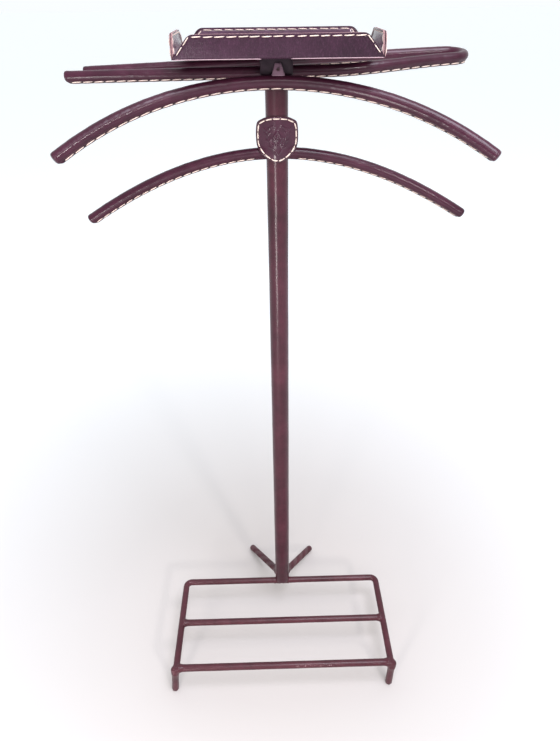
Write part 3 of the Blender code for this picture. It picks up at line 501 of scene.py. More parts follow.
sewn_sleeve("trouser_bar_wrap", trouser_line(), 6.0, 13.4, lambda q: np.zeros_like(q),
            replaces=("trouser_bar_leather", "trouser_bar_end_near", "trouser_bar_end_far", "trouser_bar_thread"))


# ------------------------------------------------------------------- the post
def revolve(name, prof, mat, n=72, fn=None, attrs=None):
    """prof: (r, z) from bottom to top, open or closed onto the axis"""
    verts, faces = [], []
    for i, (r, z) in enumerate(prof):
        for k in range(n):
            a = 2 * math.pi * k / n
            rr = r + (fn(a, z, r) if fn else 0.0)
            verts.append((rr * math.cos(a), rr * math.sin(a), z))
    for i in range(len(prof) - 1):
        for k in range(n):
            a, b = i * n + k, i * n + (k + 1) % n
            faces.append((a, b, b + n, a + n))
    faces.append(tuple(range(n))[::-1])
    faces.append(tuple(range((len(prof) - 1) * n, len(prof) * n)))
    return mesh(name, np.array(verts), faces, mat)


POST_R = 14.2


def post_fn(a, z, r):
    """slight unevenness of the pulled leather and a butt seam down the back"""
    if r < 10:
        return 0.0
    u = 0.06 * math.sin(z * 0.031 + 2 * a) + 0.04 * math.sin(z * 0.083 + a * 3 + 1.0)
    d = abs((a - math.pi / 2 + math.pi) % (2 * math.pi) - math.pi)
    return u - 0.45 * math.exp(-(d / 0.05) ** 2) + 0.18 * math.exp(-((d - 0.13) / 0.07) ** 2)


pz = [POST_Z0 + 0.05, POST_Z0 + 0.05, POST_Z0 + 0.35, POST_Z0 + 0.95, POST_Z0 + 1.9]
pr = [0.5, POST_R - 1.9, POST_R - 0.85, POST_R - 0.22, POST_R]
z = POST_Z0 + 6.0
while z < POST_Z1 - 4:
    pz.append(z)
    pr.append(POST_R)
    z += 6.0
pz += [POST_Z1 - 1.2, POST_Z1 - 0.3, POST_Z1]
pr += [POST_R, POST_R - 0.5, POST_R - 1.4]
post = revolve("post_wrap", list(zip(pr, pz)), MAT_POST, 120, post_fn)
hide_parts("post_leather")


def free_stitches(name, centers, dirs, normals, length, r_thread, mat=MAT_THREAD, lift=0.35, K=9, R=7, curve=None):
    """stitches at given places: centre point, run direction, outward normal"""
    verts, faces, hole = [], [], []
    for c, d, n in zip(centers, dirs, normals):
        d, n = norm(np.asarray(d, float)[None])[0], norm(np.asarray(n, float)[None])[0]
        s = np.cross(d, n)
        ln = length if np.isscalar(length) else length[len(verts) // (K * R)]
        t = np.linspace(0, 1, K)
        rad = r_thread * (0.70 + 0.34 * np.sin(np.pi * t) ** 0.4)
        up = (-0.75 + (0.75 + lift) * np.sin(np.pi * t) ** 0.55)
        base = len(verts)
        for i in range(K):
            p = np.asarray(c, float) + d * (t[i] - 0.5) * ln + n * up[i]
            for j in range(R):
                a = 2 * math.pi * j / R
                verts.append(p + s * rad[i] * math.cos(a) + n * rad[i] * math.sin(a))
                # stitch ends carry painted shade where they enter the leather
                hole.append(0.75 if i in (0, K - 1) else (0.22 if i in (1, K - 2) else 0.0))
        for i in range(K - 1):
            for j in range(R):
                a, b = base + i * R + j, base + i * R + (j + 1) % R
                faces.append((a, a + R, b + R, b))
        faces.append(tuple(base + j for j in range(R)))
        faces.append(tuple(base + (K - 1) * R + j for j in range(R))[::-1])
    return mesh(name, np.array(verts), faces, mat, attrs={"hole": hole})


# cross stitches that close the post's leather at the back
zc = np.arange(POST_Z0 + 14, 1022, 12.0)
zc = zc[(zc < 930) | (zc > 996)]
cs = [(0.0, POST_R - 0.1, z) for z in zc]
ds = [(1.0, 0.0, 0.55 if k % 2 == 0 else 0.55) for k in range(len(zc))]
ns = [(0, 1, 0)] * len(zc)
free_stitches("post_seam_stitches", cs, ds, ns, 4.6, 0.5)

# ----------------------------------------------------------------------- badge
BZ, BW, BH = 963.4, 27.0, 27.7
NOSE, EDGE_Y, BT = 16.3, 2.2, 1.7
SHIELD = [(0.0, 1.0), (0.35, 0.972), (0.574, 0.905), (0.76, 0.81), (0.904, 0.725), (0.97, 0.563), (1.0, 0.176), (0.985, -0.25), (0.915, -0.405), (0.73, -0.644), (0.50, -0.838), (0.20, -0.985), (0.0, -1.0)]


def shield_outline(n=192):
    p = [(x * BW, z * BH) for x, z in SHIELD]
    q = p + [(-x, z) for x, z in p[-2:0:-1]]
    q = np.array(q)
    for _ in range(3):                       # Chaikin rounding
        a = q * 0.75 + np.roll(q, -1, 0) * 0.25
        b = q * 0.25 + np.roll(q, -1, 0) * 0.75
        q = np.stack([a, b], 1).reshape(-1, 2)
    q = np.vstack([q, q[:1]])
    s = np.concatenate([[0], np.cumsum(np.linalg.norm(np.diff(q, axis=0), axis=1))])
    t = np.linspace(0, s[-1], n, endpoint=False)
    return np.stack([np.interp(t, s, q[:, 0]), np.interp(t, s, q[:, 1])], 1), s[-1]


def lower_z(x):
    s = (x + 1.2) / 250.2
    return 945.7 - 85.4 * s * s - 0.0015 * (x + 1.2)


def panel_depth(x, z, nose, edge, arm):
    px = BW + 0.5
    d = math.hypot(px, edge)
    a = math.atan2(edge, px) + math.acos(nose / d)
    tx, ty = nose * math.cos(a), nose * math.sin(a)
    ax = np.abs(x)
    y = np.where(ax <= tx, np.sqrt(np.maximum(nose * nose - ax * ax, 0)), ty + (edge - ty) * (ax - tx) / (px - tx))
    h = arm * arm - (BZ + z + 1.0 - lower_z(x)) ** 2
    bulge = np.sqrt(np.maximum(h, 0))
    k = 1.6                                   # soft maximum, leather can't follow a sharp crease
    return np.logaddexp(y / k, np.where(h > 0, bulge, -20) / k) * k - 0.0


def seg_dist(x, z, a, b):
    a, b = np.array(a, float), np.array(b, float)
    ab = b - a
    t = np.clip(((x - a[0]) * ab[0] + (z - a[1]) * ab[1]) / (ab @ ab), 0, 1)
    return np.hypot(x - a[0] - t * ab[0], z - a[1] - t * ab[1])


def emboss(x, z):
    """plain pressed ornament: a lozenge in a lozenge between two leafy sprigs"""
    h = np.zeros_like(x)

    def stroke(pts, w, amp):
        d = np.full_like(x, 99.0)
        for p, q in zip(pts[:-1], pts[1:]):
            d = np.minimum(d, seg_dist(x, z, p, q))
        return amp * np.exp(-(d / w) ** 2)
    zc = 1.5
    for rx, rz, amp in ((5.4, 9.4, 0.75), (2.2, 4.2, 0.6)):
        h = np.maximum(h, stroke([(0, zc + rz), (rx, zc), (0, zc - rz), (-rx, zc), (0, zc + rz)], 1.05, 1.35 * amp))
    for sg in (-1, 1):
        stem = [(sg * (2.0 + 11.0 * math.sin(t)), -17.0 + 27.0 * t / 1.45) for t in np.linspace(0, 1.45, 12)]
        h = np.maximum(h, stroke(stem, 0.95, 0.95))
        for k in (3, 6, 9, 11):
            px_, pz_ = stem[k]
            tx_, tz_ = stem[k][0] - stem[k - 1][0], stem[k][1] - stem[k - 1][1]
            n_ = math.hypot(tx_, tz_)
            tx_, tz_ = tx_ / n_, tz_ / n_
            for sd in (-1, 1):
                ang = sd * math.radians(48)
                lx = tx_ * math.cos(ang) - tz_ * math.sin(ang)
                lz = tx_ * math.sin(ang) + tz_ * math.cos(ang)
                tip = (px_ + 4.0 * lx, pz_ + 4.0 * lz)
                h = np.maximum(h, stroke([(px_ + 0.7 * lx, pz_ + 0.7 * lz), tip], 1.05, 0.85))
        h = np.maximum(h, stroke([(sg * 2.5, zc + 12.5), (sg * 6.0, zc + 14.5), (sg * 9.0, zc + 12.5)], 0.7, 0.55))
    return h


def badge_panel(name, sign, lower, node):
    out, per = shield_outline()
    out = out.copy()
    if lower:
        top = out[:, 1] > 0
        out[top, 1] *= 1 - lower / BH
        out[:, 0] *= 0.985
    rho = np.concatenate([np.linspace(0.0, 0.81, 46), [0.845, 0.87, 0.89, 0.905, 0.92, 0.94, 0.96, 0.98, 0.992, 1.0]])
    n = len(out)
    cx, cz = 0.0, -1.0
    verts, hole = [], []
    grid = []
    for r_ in rho:
        x = cx + (out[:, 0] - cx) * r_
        z = cz + (out[:, 1] - cz) * r_
        y = panel_depth(x, z, NOSE, EDGE_Y, 6.3 + 2.2 + 0.7 + BT)
        groove = -0.55 * math.exp(-((r_ - 0.898) / 0.016) ** 2)
        puff = 0.55 * (1 - min(1.0, (r_ / 0.88)) ** 3)
        edge_round = -0.9 * max(0.0, (r_ - 0.975) / 0.025) ** 2
        em = 1.15 * emboss(x, z) * (1 - ease((r_ - 0.74) / 0.10)) if sign < 0 else 0.0
        yy = y + groove + puff + edge_round + em
        grid.append(np.stack([x, sign * yy, BZ + z], 1))
    nr = len(rho)
    V = np.vstack(grid)
    inner = []
    for r_ in (1.0, 0.95, 0.8, 0.5, 0.0):
        x = cx + (out[:, 0] - cx) * r_
        z = cz + (out[:, 1] - cz) * r_
        y = panel_depth(x, z, NOSE - BT, EDGE_Y - BT + 0.2, 6.3 + 2.2 + 0.7) - (0.35 if r_ == 1.0 else 0.0) * 0
        inner.append(np.stack([x, sign * y, BZ + z], 1))
    V = np.vstack([V] + inner)
    tot = nr + 5
    faces = []
    midx = []
    for i in range(tot - 1):
        for k in range(n):
            a, b = i * n + k, i * n + (k + 1) % n
            f = (a, b, b + n, a + n)
            faces.append(f if sign > 0 else f[::-1])
            midx.append(1 if i in (nr - 2, nr - 1) else 0)
    ob = mesh(name, V, faces, [MAT_BADGE, MAT_FLAP], midx=midx)
    # the collapsed middle rings become one point each
    me = ob.data
    import bmesh
    bm = bmesh.new()
    bm.from_mesh(me)
    bmesh.ops.remove_doubles(bm, verts=bm.verts, dist=1e-6)
    bmesh.ops.recalc_face_normals(bm, faces=bm.faces)
    bm.to_mesh(me)
    bm.free()
    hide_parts(node)
    # stitches
    sx = cx + (out[:, 0] - cx) * 0.898
    sz = cz + (out[:, 1] - cz) * 0.898
    loop = np.stack([sx, sz], 1)
    cl = np.vstack([loop, loop[:1]])
    s = np.concatenate([[0], np.cumsum(np.linalg.norm(np.diff(cl, axis=0), axis=1))])
    count = 17
    pitch = s[-1] / count
    cs, ds, ns, vv, ff, hh = [], [], [], [], [], []
    K, R = 11, 8
    for k in range(count):
        mid = (k + 0.5) * pitch
        half = (pitch - 0.9) / 2
        q = (mid + np.linspace(-half, half, K)) % s[-1]
        x, z = np.interp(q, s, cl[:, 0]), np.interp(q, s, cl[:, 1])
        x = x * (1 + 0.004 * np.linspace(-1, 1, K))
        y = panel_depth(x, z, NOSE, EDGE_Y, 6.3 + 2.2 + 0.7 + BT)
        t = np.linspace(0, 1, K)
        up = -0.55 - 0.65 + (0.65 + 0.62) * np.sin(np.pi * t) ** 0.5
        C = np.stack([x, sign * (y + up), BZ + z], 1)
        TT = norm(np.gradient(C, axis=0))
        nn = np.array([0, sign, 0.0])
        N1 = norm(np.cross(TT, nn))
        N2 = np.cross(TT, N1)
        rad = 0.88 * (0.68 + 0.34 * np.sin(np.pi * t) ** 0.4)
        base = len(vv)
        for i in range(K):
            for j in range(R):
                a = 2 * math.pi * j / R
                vv.append(C[i] + N1[i] * rad[i] * math.cos(a) + N2[i] * rad[i] * math.sin(a))
                # stitch ends carry painted shade where they enter the leather
                hh.append(0.75 if i in (0, K - 1) else (0.15 if i in (1, K - 2) else 0.0))
        for i in range(K - 1):
            for j in range(R):
                a, b = base + i * R + j, base + i * R + (j + 1) % R
                ff.append((a, a + R, b + R, b))
        ff.append(tuple(base + j for j in range(R)))
        ff.append(tuple(base + (K - 1) * R + j for j in range(R))[::-1])
    st = mesh(name + "_stitches", np.array(vv), ff, MAT_THREAD, attrs={"hole": hh})
    return ob, st


bf, bf_st = badge_panel("badge_front_panel", -1, 0.0, "badge_front")
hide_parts("badge_thread")
badge_panel("badge_back_panel", 1, 7.0, "badge_back")

# ------------------------------------------------------------------------ tray
_tl, _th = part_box("tray_shell_leather")
LEAN = math.radians(6.5)
TH = 24.7
SLANT = 21.0
TZ = _tl.z * 1000
TX = (_tl.x + _th.x) / 2 * 1000 - PX
TW = (_th.x - _tl.x) * 1000 - 2 * TH * math.sin(LEAN)
TD = (_th.y - _tl.y) * 1000 - 2 * TH * math.sin(LEAN)


def slanted(v, H):
    """how far a flap's end has moved in at height v, with a rounded top corner"""
    t = np.clip(v / H, 0, 1)
    x = SLANT * t
    k = np.clip((v - (H - 4.2)) / 4.2, 0, 1)
    return x + 4.4 * (1 - np.sqrt(np.maximum(1 - k ** 2, 0))) ** 1.0


def ply(name, L, dist, ux, uy, nx, ny, t0, t1, H, mat, floor_z, wobble, crease=None, low=0.0, groove=0.3):
    """one ply of a flap. (ux,uy) runs along the flap, (nx,ny) points outwards,
    t0 and t1 are the depths of its two faces behind the flap's outer plane"""
    nu = int(L / 1.25)
    vs = np.concatenate([[0.0, 0.5, 1.1, 1.8], np.arange(2.6, H - 5.5, 1.1), H - np.array([5.0, 4.3, 3.6, 3.0, 2.4, 1.8, 1.2, 0.7, 0.3, 0.0])])
    us = np.linspace(-1, 1, nu)
    sn, cs = math.sin(LEAN), math.cos(LEAN)

    def place(u, v, d):
        """u in mm along, v up the wall, d depth behind the outer plane"""
        out = dist + v * sn - d * cs
        z = floor_z + v * cs + d * sn
        return np.stack([TX + u * ux + out * nx, u * uy + out * ny, z], -1)
    U, Vv = np.meshgrid(us, vs, indexing="ij")
    half = L / 2 - slanted(Vv, H)
    X = U * half
    # distance from the free edges
    dtop = H - Vv
    dside = (half - np.abs(X)) * 0.76
    dmin = np.minimum(dtop, dside)
    gr = groove * np.exp(-((dmin - 2.4) / 0.9) ** 2) + 0.45 * np.exp(-(dmin / 0.55) ** 2)
    wb = wobble(X, Vv)
    cr = crease(X, Vv) if crease else 0.0
    bow = 0.25 * np.sin(np.pi * np.clip(Vv / H, 0, 1))
    fold = 1.3 * np.maximum(0, 1 - Vv / 2.2) ** 2
    A = place(X, Vv, t0 + gr - wb - cr - bow + (fold if t0 < 0.5 else 0) + low)
    B = place(X, Vv, t1 - 0.35 * np.exp(-(dmin / 0.55) ** 2) - wb - bow + low)
    n, m = len(us), len(vs)
    verts = np.vstack([A.reshape(-1, 3), B.reshape(-1, 3)])
    faces, midx = [], []
    o = n * m
    for i in range(n - 1):
        for j in range(m - 1):
            a, b, c, d = i * m + j, (i + 1) * m + j, (i + 1) * m + j + 1, i * m + j + 1
            faces += [(a, b, c, d), (o + a, o + d, o + c, o + b)]
            midx += [0, 0]
    rim = [(i, 0) for i in range(n)] + [(n - 1, j) for j in range(1, m)] + [(i, m - 1) for i in range(n - 2, -1, -1)] + [(0, j) for j in range(m - 2, 0, -1)]
    ids = [i * m + j for i, j in rim]
    for k in range(len(ids)):
        a, b = ids[k], ids[(k + 1) % len(ids)]
        faces.append((a, o + a, o + b, b))
        midx.append(0 if rim[k][1] == 0 and rim[(k + 1) % len(ids)][1] == 0 else 1)
    ob = mesh(name, verts, faces, [mat, MAT_RAW], angle=50, midx=midx)
    return ob, place


def flap_stitches(name, L, H, place, d, pitch, e=2.5, sign=1):
    """stitches round the three free edges; d is the depth of the face they lie on"""
    # seam line in (u, v)
    vv = np.linspace(1.5, H - e, 60)
    xe = L / 2 - slanted(vv, H) - e * 0.92
    top_half = xe[-1]
    left = np.stack([-xe, vv], 1)
    top = np.stack([np.linspace(-top_half, top_half, 200), np.full(200, H - e)], 1)
    right = left[::-1] * np.array([-1, 1])
    line = np.vstack([left, top[1:-1], right])
    s = np.concatenate([[0], np.cumsum(np.linalg.norm(np.diff(line, axis=0), axis=1))])
    n = int(s[-1] // pitch)
    off = (s[-1] - n * pitch) / 2
    vtx, fcs, hh = [], [], []
    K, R = 9, 7
    for k in range(n):
        mid = off + (k + 0.5) * pitch + RNG.normal(0, 0.25)
        half = (pitch - 1.3 + RNG.normal(0, 0.3)) / 2
        q = mid + np.linspace(-half, half, K)
        u, v = np.interp(q, s, line[:, 0]), np.interp(q, s, line[:, 1])
        tilt = (np.linspace(-0.5, 0.5, K)) * 0.5 + RNG.normal(0, 0.10)
        v = v + tilt * (1 if True else 0)
        t = np.linspace(0, 1, K)
        up = -0.8 + (0.8 + 0.42) * np.sin(np.pi * t) ** 0.5
        C = place(u, v, d - sign * up)
        TT = norm(np.gradient(C, axis=0))
        nn = norm((place(u, v, np.full(K, d - sign)) - place(u, v, np.full(K, float(d)))))
        N1 = norm(np.cross(TT, nn))
        N2 = np.cross(TT, N1)
        rad = 0.56 * (0.68 + 0.34 * np.sin(np.pi * t) ** 0.4)
        base = len(vtx)
        for i in range(K):
            for j in range(R):
                a = 2 * math.pi * j / R
                vtx.append(C[i] + N1[i] * rad[i] * math.cos(a) + N2[i] * rad[i] * math.sin(a))
                # stitch ends carry painted shade where they enter the leather
                hh.append(0.75 if i in (0, K - 1) else (0.2 if i in (1, K - 2) else 0.0))
        for i in range(K - 1):
            for j in range(R):
                a, b = base + i * R + j, base + i * R + (j + 1) % R
                fcs.append((a, a + R, b + R, b))
        fcs.append(tuple(base + j for j in range(R)))
        fcs.append(tuple(base + (K - 1) * R + j for j in range(R))[::-1])
    return mesh(name, np.array(vtx), fcs, MAT_THREAD, attrs={"hole": hh})


def front_crease(X, V):
    """fan of short creases at the right end of the front flap"""
    out = np.zeros_like(X)
    for k in range(9):
        x0 = TW / 2 - 12.0 - 4.6 * k
        path = x0 - 3.2 * np.sin((V / TH) * 1.6 + 0.3 * k) + 0.7 * k
        amp = 0.75 * math.exp(-k / 4.0)
        out += -amp * np.exp(-((X - path) / 0.85) ** 2) * ease((V - 5.0) / 5.0) * (1 - 0.4 * (k % 2))
    return out


SIDES = {"front": (TW, TD / 2, 1, 0, 0, -1), "back": (TW, TD / 2, -1, 0, 0, 1), "left": (TD, TW / 2, 0, -1, -1, 0), "right": (TD, TW / 2, 0, 1, 1, 0)}
STEP = 5.1
for side, (L, dist, ux, uy, nx, ny) in SIDES.items():
    ph = {"front": 0.0, "back": 1.7, "left": 3.1, "right": 4.4}[side]
    wob = (lambda X, V, ph=ph: 0.35 * np.sin(X * 0.045 + ph) * (V / TH) + 0.16 * np.sin(X * 0.13 + 2 * ph) * (V / TH) ** 2)
    o_ply, place_o = ply("tray_wall_outer_" + side, L, dist, ux, uy, nx, ny, 0.0, 1.46, TH, MAT_TRAY, TZ, wob, front_crease if side == "front" else None)
    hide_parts("tray_shell_leather")
    i_ply, place_i = ply("tray_wall_inner_" + side, L - 7.2, dist, ux, uy, nx, ny, 2.95, 1.54, TH - 0.2, MAT_LINING_SHEEN, TZ, wob, groove=-0.3)
    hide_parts("tray_lining_leather")
    so = flap_stitches("tray_stitches_outer_" + side, L, TH, place_o, -0.05, 12.7)
    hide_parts("tray_thread_" + side)
    flap_stitches("tray_stitches_inner_" + side, L - 7.2, TH - 0.2, place_i, 2.95, 13.2, sign=-1)


def slab(name, hx, hy, z0, z1, mat, rr=2.0, edge=0.7):
    """thin leather sheet with soft edges, slightly quilted"""
    nx_, ny_ = 90, 46
    xs, ys = np.linspace(-1, 1, nx_), np.linspace(-1, 1, ny_)
    U, W = np.meshgrid(xs, ys, indexing="ij")
    X, Y = U * hx, W * hy
    dx, dy = hx - np.abs(X), hy - np.abs(Y)
    d = np.minimum(dx, dy)
    top = z1 - edge * np.exp(-(d / 0.8) ** 2) + 0.10 * np.sin(X * 0.05 + 1) * np.sin(Y * 0.07)
    bot = z0 + edge * np.exp(-(d / 0.8) ** 2)
    V = np.vstack([np.stack([X + TX, Y, top], -1).reshape(-1, 3), np.stack([X + TX, Y, bot], -1).reshape(-1, 3)])
    faces = []
    o = nx_ * ny_
    for i in range(nx_ - 1):
        for j in range(ny_ - 1):
            a, b, c, e_ = i * ny_ + j, (i + 1) * ny_ + j, (i + 1) * ny_ + j + 1, i * ny_ + j + 1
            faces += [(a, b, c, e_), (o + a, o + e_, o + c, o + b)]
    rim = [(i, 0) for i in range(nx_)] + [(nx_ - 1, j) for j in range(1, ny_)] + [(i, ny_ - 1) for i in range(nx_ - 2, -1, -1)] + [(0, j) for j in range(ny_ - 2, 0, -1)]
    ids = [i * ny_ + j for i, j in rim]
    for k in range(len(ids)):
        a, b = ids[k], ids[(k + 1) % len(ids)]
        faces.append((a, o + a, o + b, b))
    return mesh(name, V, faces, mat, angle=60)


bottom = slab("tray_bottom", TW / 2 - 0.2, TD / 2 - 0.2, TZ, TZ + 1.45, MAT_TRAY)
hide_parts("tray_shell_leather")
floor_in = slab("tray_floor_lining", TW / 2 - 2.2, TD / 2 - 2.2, TZ + STEP, TZ + STEP + 1.3, MAT_LINING_SHEEN)
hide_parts("tray_lining_leather")

# the cut edge of the bottom sheet shows as a pale line under the long walls,
# broken at the middle where the head's leather is tucked in
def edge_strip(name, x0, x1, y, sgn):
    n = int((x1 - x0) / 2.0)
    xs = np.linspace(x0, x1, n)
    prof = [(-0.9, 0.06), (-0.9, 0.55), (0.0, 0.95), (0.42, 0.75), (0.5, 0.35), (0.30, 0.02)]
    verts, faces = [], []
    for i, x in enumerate(xs):
        end = 0.55 + 0.45 * min(1.0, min(i, n - 1 - i) / 2.0)
        wv = 0.10 * math.sin(x * 0.31) + 0.08 * math.sin(x * 0.83 + 1.0)
        for p_, q_ in prof:
            verts.append((TX + x, sgn * (y + (p_ + wv) * end), TZ + q_ * end))
    m = len(prof)
    for i in range(n - 1):
        for k in range(m):
            a, b = i * m + k, i * m + (k + 1) % m
            faces.append((a, a + m, b + m, b) if sgn < 0 else (a, b, b + m, a + m))
    faces.append(tuple(range(m)) if sgn < 0 else tuple(range(m))[::-1])
    faces.append(tuple(range((n - 1) * m, n * m))[::-1] if sgn < 0 else tuple(range((n - 1) * m, n * m)))
    return mesh(name, np.array(verts), faces, MAT_PALE)


for nm, x0, x1 in (("left", -TW / 2 + 2, -19.0), ("right", 14.0, TW / 2 - 2)):
    edge_strip("tray_cut_edge_front_" + nm, x0, x1, TD / 2, -1)
    edge_strip("tray_cut_edge_back_" + nm, x0, x1, TD / 2, 1)

# ------------------------------------------------ voxel-blended leather skins
def tube(pts, radii, n=20, caps=True):
    P = np.asarray(pts, float)
    T = norm(np.gradient(P, axis=0))
    ref = np.array([0, 0, 1.0]) if abs(T[0][2]) < 0.8 else np.array([0, 1.0, 0])
    verts, faces = [], []
    for i in range(len(P)):
        a = norm((ref - T[i] * (T[i] @ ref))[None])[0]
        b = np.cross(T[i], a)
        r = radii if np.isscalar(radii) else radii[i]
        for k in range(n):
            g = 2 * math.pi * k / n
            verts.append(P[i] + a * r * math.cos(g) + b * r * math.sin(g))
    for i in range(len(P) - 1):
        for k in range(n):
            a, b = i * n + k, i * n + (k + 1) % n
            faces.append((a, b, b + n, a + n))
    faces.append(tuple(range(n))[::-1])
    faces.append(tuple(range((len(P) - 1) * n, len(P) * n)))
    return np.array(verts), faces


def ball(c, r, n=16, squash=(1, 1, 1)):
    verts, faces = [], []
    for i in range(1, n):
        t = math.pi * i / n
        for k in range(2 * n):
            g = math.pi * k / n
            verts.append((c[0] + squash[0] * r * math.sin(t) * math.cos(g), c[1] + squash[1] * r * math.sin(t) * math.sin(g), c[2] + squash[2] * r * math.cos(t)))
    m = 2 * n
    for i in range(n - 2):
        for k in range(m):
            a, b = i * m + k, i * m + (k + 1) % m
            faces.append((a, a + m, b + m, b))
    faces.append(tuple(range(m)))
    faces.append(tuple(range((n - 2) * m, (n - 1) * m))[::-1])
    return np.array(verts), faces


def skin(name, parts, mat, voxel, iters, after=None, attr_fn=None):
    """union of simple tubes, remeshed and relaxed so that the joints get the soft
    fillets of leather pulled over welded rods"""
    import bmesh
    vv, ff = [], []
    for v, f in parts:
        o = sum(len(x) for x in vv)
        vv.append(v)
        ff += [tuple(i + o for i in g) for g in f]
    me = bpy.data.meshes.new(name + "_raw")
    me.from_pydata(M(np.vstack(vv)).tolist(), [], ff)
    me.update()
    bm = bmesh.new()
    bm.from_mesh(me)
    bmesh.ops.recalc_face_normals(bm, faces=bm.faces)
    bm.to_mesh(me)
    bm.free()
    ob = bpy.data.objects.new(name + "_raw", me)
    bpy.context.scene.collection.objects.link(ob)
    rm = ob.modifiers.new("remesh", "REMESH")
    rm.mode = "VOXEL"
    rm.voxel_size = voxel * 0.001
    rm.adaptivity = 0.0
    sm = ob.modifiers.new("smooth", "SMOOTH")
    sm.factor = 0.5
    sm.iterations = iters
    dg = bpy.context.evaluated_depsgraph_get()
    ev = ob.evaluated_get(dg)
    out = bpy.data.meshes.new_from_object(ev)
    n = len(out.vertices)
    co = np.zeros(n * 3, np.float64)
    out.vertices.foreach_get("co", co)
    no = np.zeros(n * 3, np.float64)
    out.vertices.foreach_get("normal", no)
    co, no = co.reshape(-1, 3), no.reshape(-1, 3)
    p = co * 1000 - OFF
    if after is not None:
        p = after(p, no)
    faces = [tuple(f.vertices) for f in out.polygons]
    bpy.data.objects.remove(ob)
    attrs = attr_fn(p) if attr_fn else None
    res = mesh(name, p, faces, mat, attrs=attrs)
    bpy.data.meshes.remove(out)
    return res


BX, BHW, BZH = -2.4, 201.2, 66.6
MIDY, FRY, RAILY, LEGY, CR = -94.0, -185.9, -193.0, -188.5, 10.5
xl, xr = BX - BHW, BX + BHW
G = 0.32        # what the relaxing takes off a radius


def u_line():
    pts = [(xl, y, BZH) for y in np.linspace(RAILY - 1.2, -CR, 30)]
    pts += [(xl + CR - CR * math.cos(a), -CR + CR * math.sin(a), BZH) for a in np.linspace(0, math.pi / 2, 14)[1:-1]]
    pts += [(x, 0, BZH) for x in np.linspace(xl + CR, xr - CR, 50)]
    pts += [(xr - CR + CR * math.sin(a), -CR + CR * math.cos(a), BZH) for a in np.linspace(0, math.pi / 2, 14)[1:-1]]
    pts += [(xr, y, BZH) for y in np.linspace(-CR, RAILY - 1.2, 30)]
    return pts


def bar(y, r):
    """cross bar that flares where its leather is glued round the rails"""
    xs = np.concatenate([np.linspace(xl, xl + 22, 18), np.linspace(xl + 30, xr - 30, 40), np.linspace(xr - 22, xr, 18)])
    d = np.minimum(xs - xl, xr - xs)
    rad = r + G + 2.4 * np.exp(-(np.maximum(d - 4.5, 0) / 4.2) ** 1.6)
    rad = np.where(d < 3, r + G, rad)
    return tube([(x, y, BZH) for x in xs], rad, 24)


def leg(x1, x0):
    zs = np.array([0.0, 0.0, 0.6, 1.6, 3.2, 6, 12, 20, 30, 40, 46, 52, 57, 61, 64.5])
    rs = np.array([0.5, 4.6, 5.6, 6.3, 6.7, 6.8, 6.7, 6.6, 6.5, 6.5, 6.6, 7.1, 7.9, 8.2, 6.0]) + 0.1
    pts = [(x0 + (x1 - x0) * z / 60.6, LEGY, z) for z in zs]
    return tube(pts, rs, 24)


def base_after(p, no):
    # lengthwise pull wrinkles and small bumps of the glued leather
    x, y, z = p[:, 0], p[:, 1], p[:, 2]
    w = 0.06 * np.sin(x * 0.09 + 0.6 * np.sin(z * 0.8)) + 0.05 * np.sin(y * 0.11 + 1.1) + 0.02 * np.sin(x * 0.61 + y * 0.53 + z * 0.9)
    # overlap line of the wrap along the lower edge of the rear bar near the post
    seam = np.exp(-((z - (BZH - 5.0)) / 1.2) ** 2) * np.exp(-(y / 8.0) ** 2) * np.exp(-(x / 60.0) ** 4)
    w = w + seam * (0.35 + 0.35 * np.sin(x * 0.9) * np.sin(x * 0.37 + 1.0))
    q = p + no * w[:, None]
    q[:, 2] = np.maximum(q[:, 2], 0.02)
    return q


def base_attr(p):
    x, y, z = p[:, 0], p[:, 1], p[:, 2]
    w = np.exp(-((z - (BZH + 3.9)) / 1.3) ** 2) * (y < FRY - 2) * ease((x - 12) / 16) * (1 - ease((x - 86) / 16))
    corner = np.exp(-(((x - xl + 2) ** 2 + (y - RAILY) ** 2 + (z - BZH) ** 2) / 50.0)) * 0.7
    return {"wear": np.clip(w * 0.62 + corner * 0.5, 0, 1), "hole": np.zeros(len(p))}


parts = [tube(u_line(), 6.0 + G, 24), bar(MIDY, 6.0), bar(FRY, 6.3), leg(-205.6, -211.8), leg(200.3, 199.8),
         ball((-206.0, -187.8, 65.2), 7.9), ball((201.4, -187.6, 65.4), 7.7)]
base = skin("base_frame_wrap", parts, MAT_BASE, 1.25, 12, base_after, base_attr)
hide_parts("base_frame_leather", "middle_bar_leather", "front_bar_leather", "front_leg_leather_left", "front_leg_leather_right",
            "front_foot_cap_left", "front_foot_cap_right", "rail_end_cap_left", "rail_end_cap_right")

# the post's foot: leather drawn down over the bar and out along the rear legs
LEG_TIPS = {"left": (-66.7, 135.5, 6.8), "right": (67.1, 128.6, 6.8)}
ROOT = {"left": (-9.0, 13.0, 80.3), "right": (9.0, 13.0, 80.3)}


def rear_line(side, n):
    a, b = np.array(ROOT[side]), np.array(LEG_TIPS[side])
    ax = norm((b - a)[None])[0]
    L = np.linalg.norm(b - a)
    return a, ax, L


fparts = [tube([(0, 1.2, z) for z in (68.0, 70.0, 72.0, 74.0, 80.0, 88.0)], np.array([5.5, 6.5, 8.0, 10.5, 13.0, 13.2]), 40),
          tube([(x, 0.2, BZH - 0.3) for x in np.linspace(-26, 26, 24)], 6.15 + 0.75 * np.exp(-(np.linspace(-26, 26, 24) / 17.0) ** 4), 24)]
for side in ("left", "right"):
    a, ax, L = rear_line(side, 0)
    ts = np.linspace(-4, 16, 14)
    fparts.append(tube([a + ax * t for t in ts], 6.7 + 1.9 * np.exp(-((ts + 1) / 6.5) ** 2), 24))


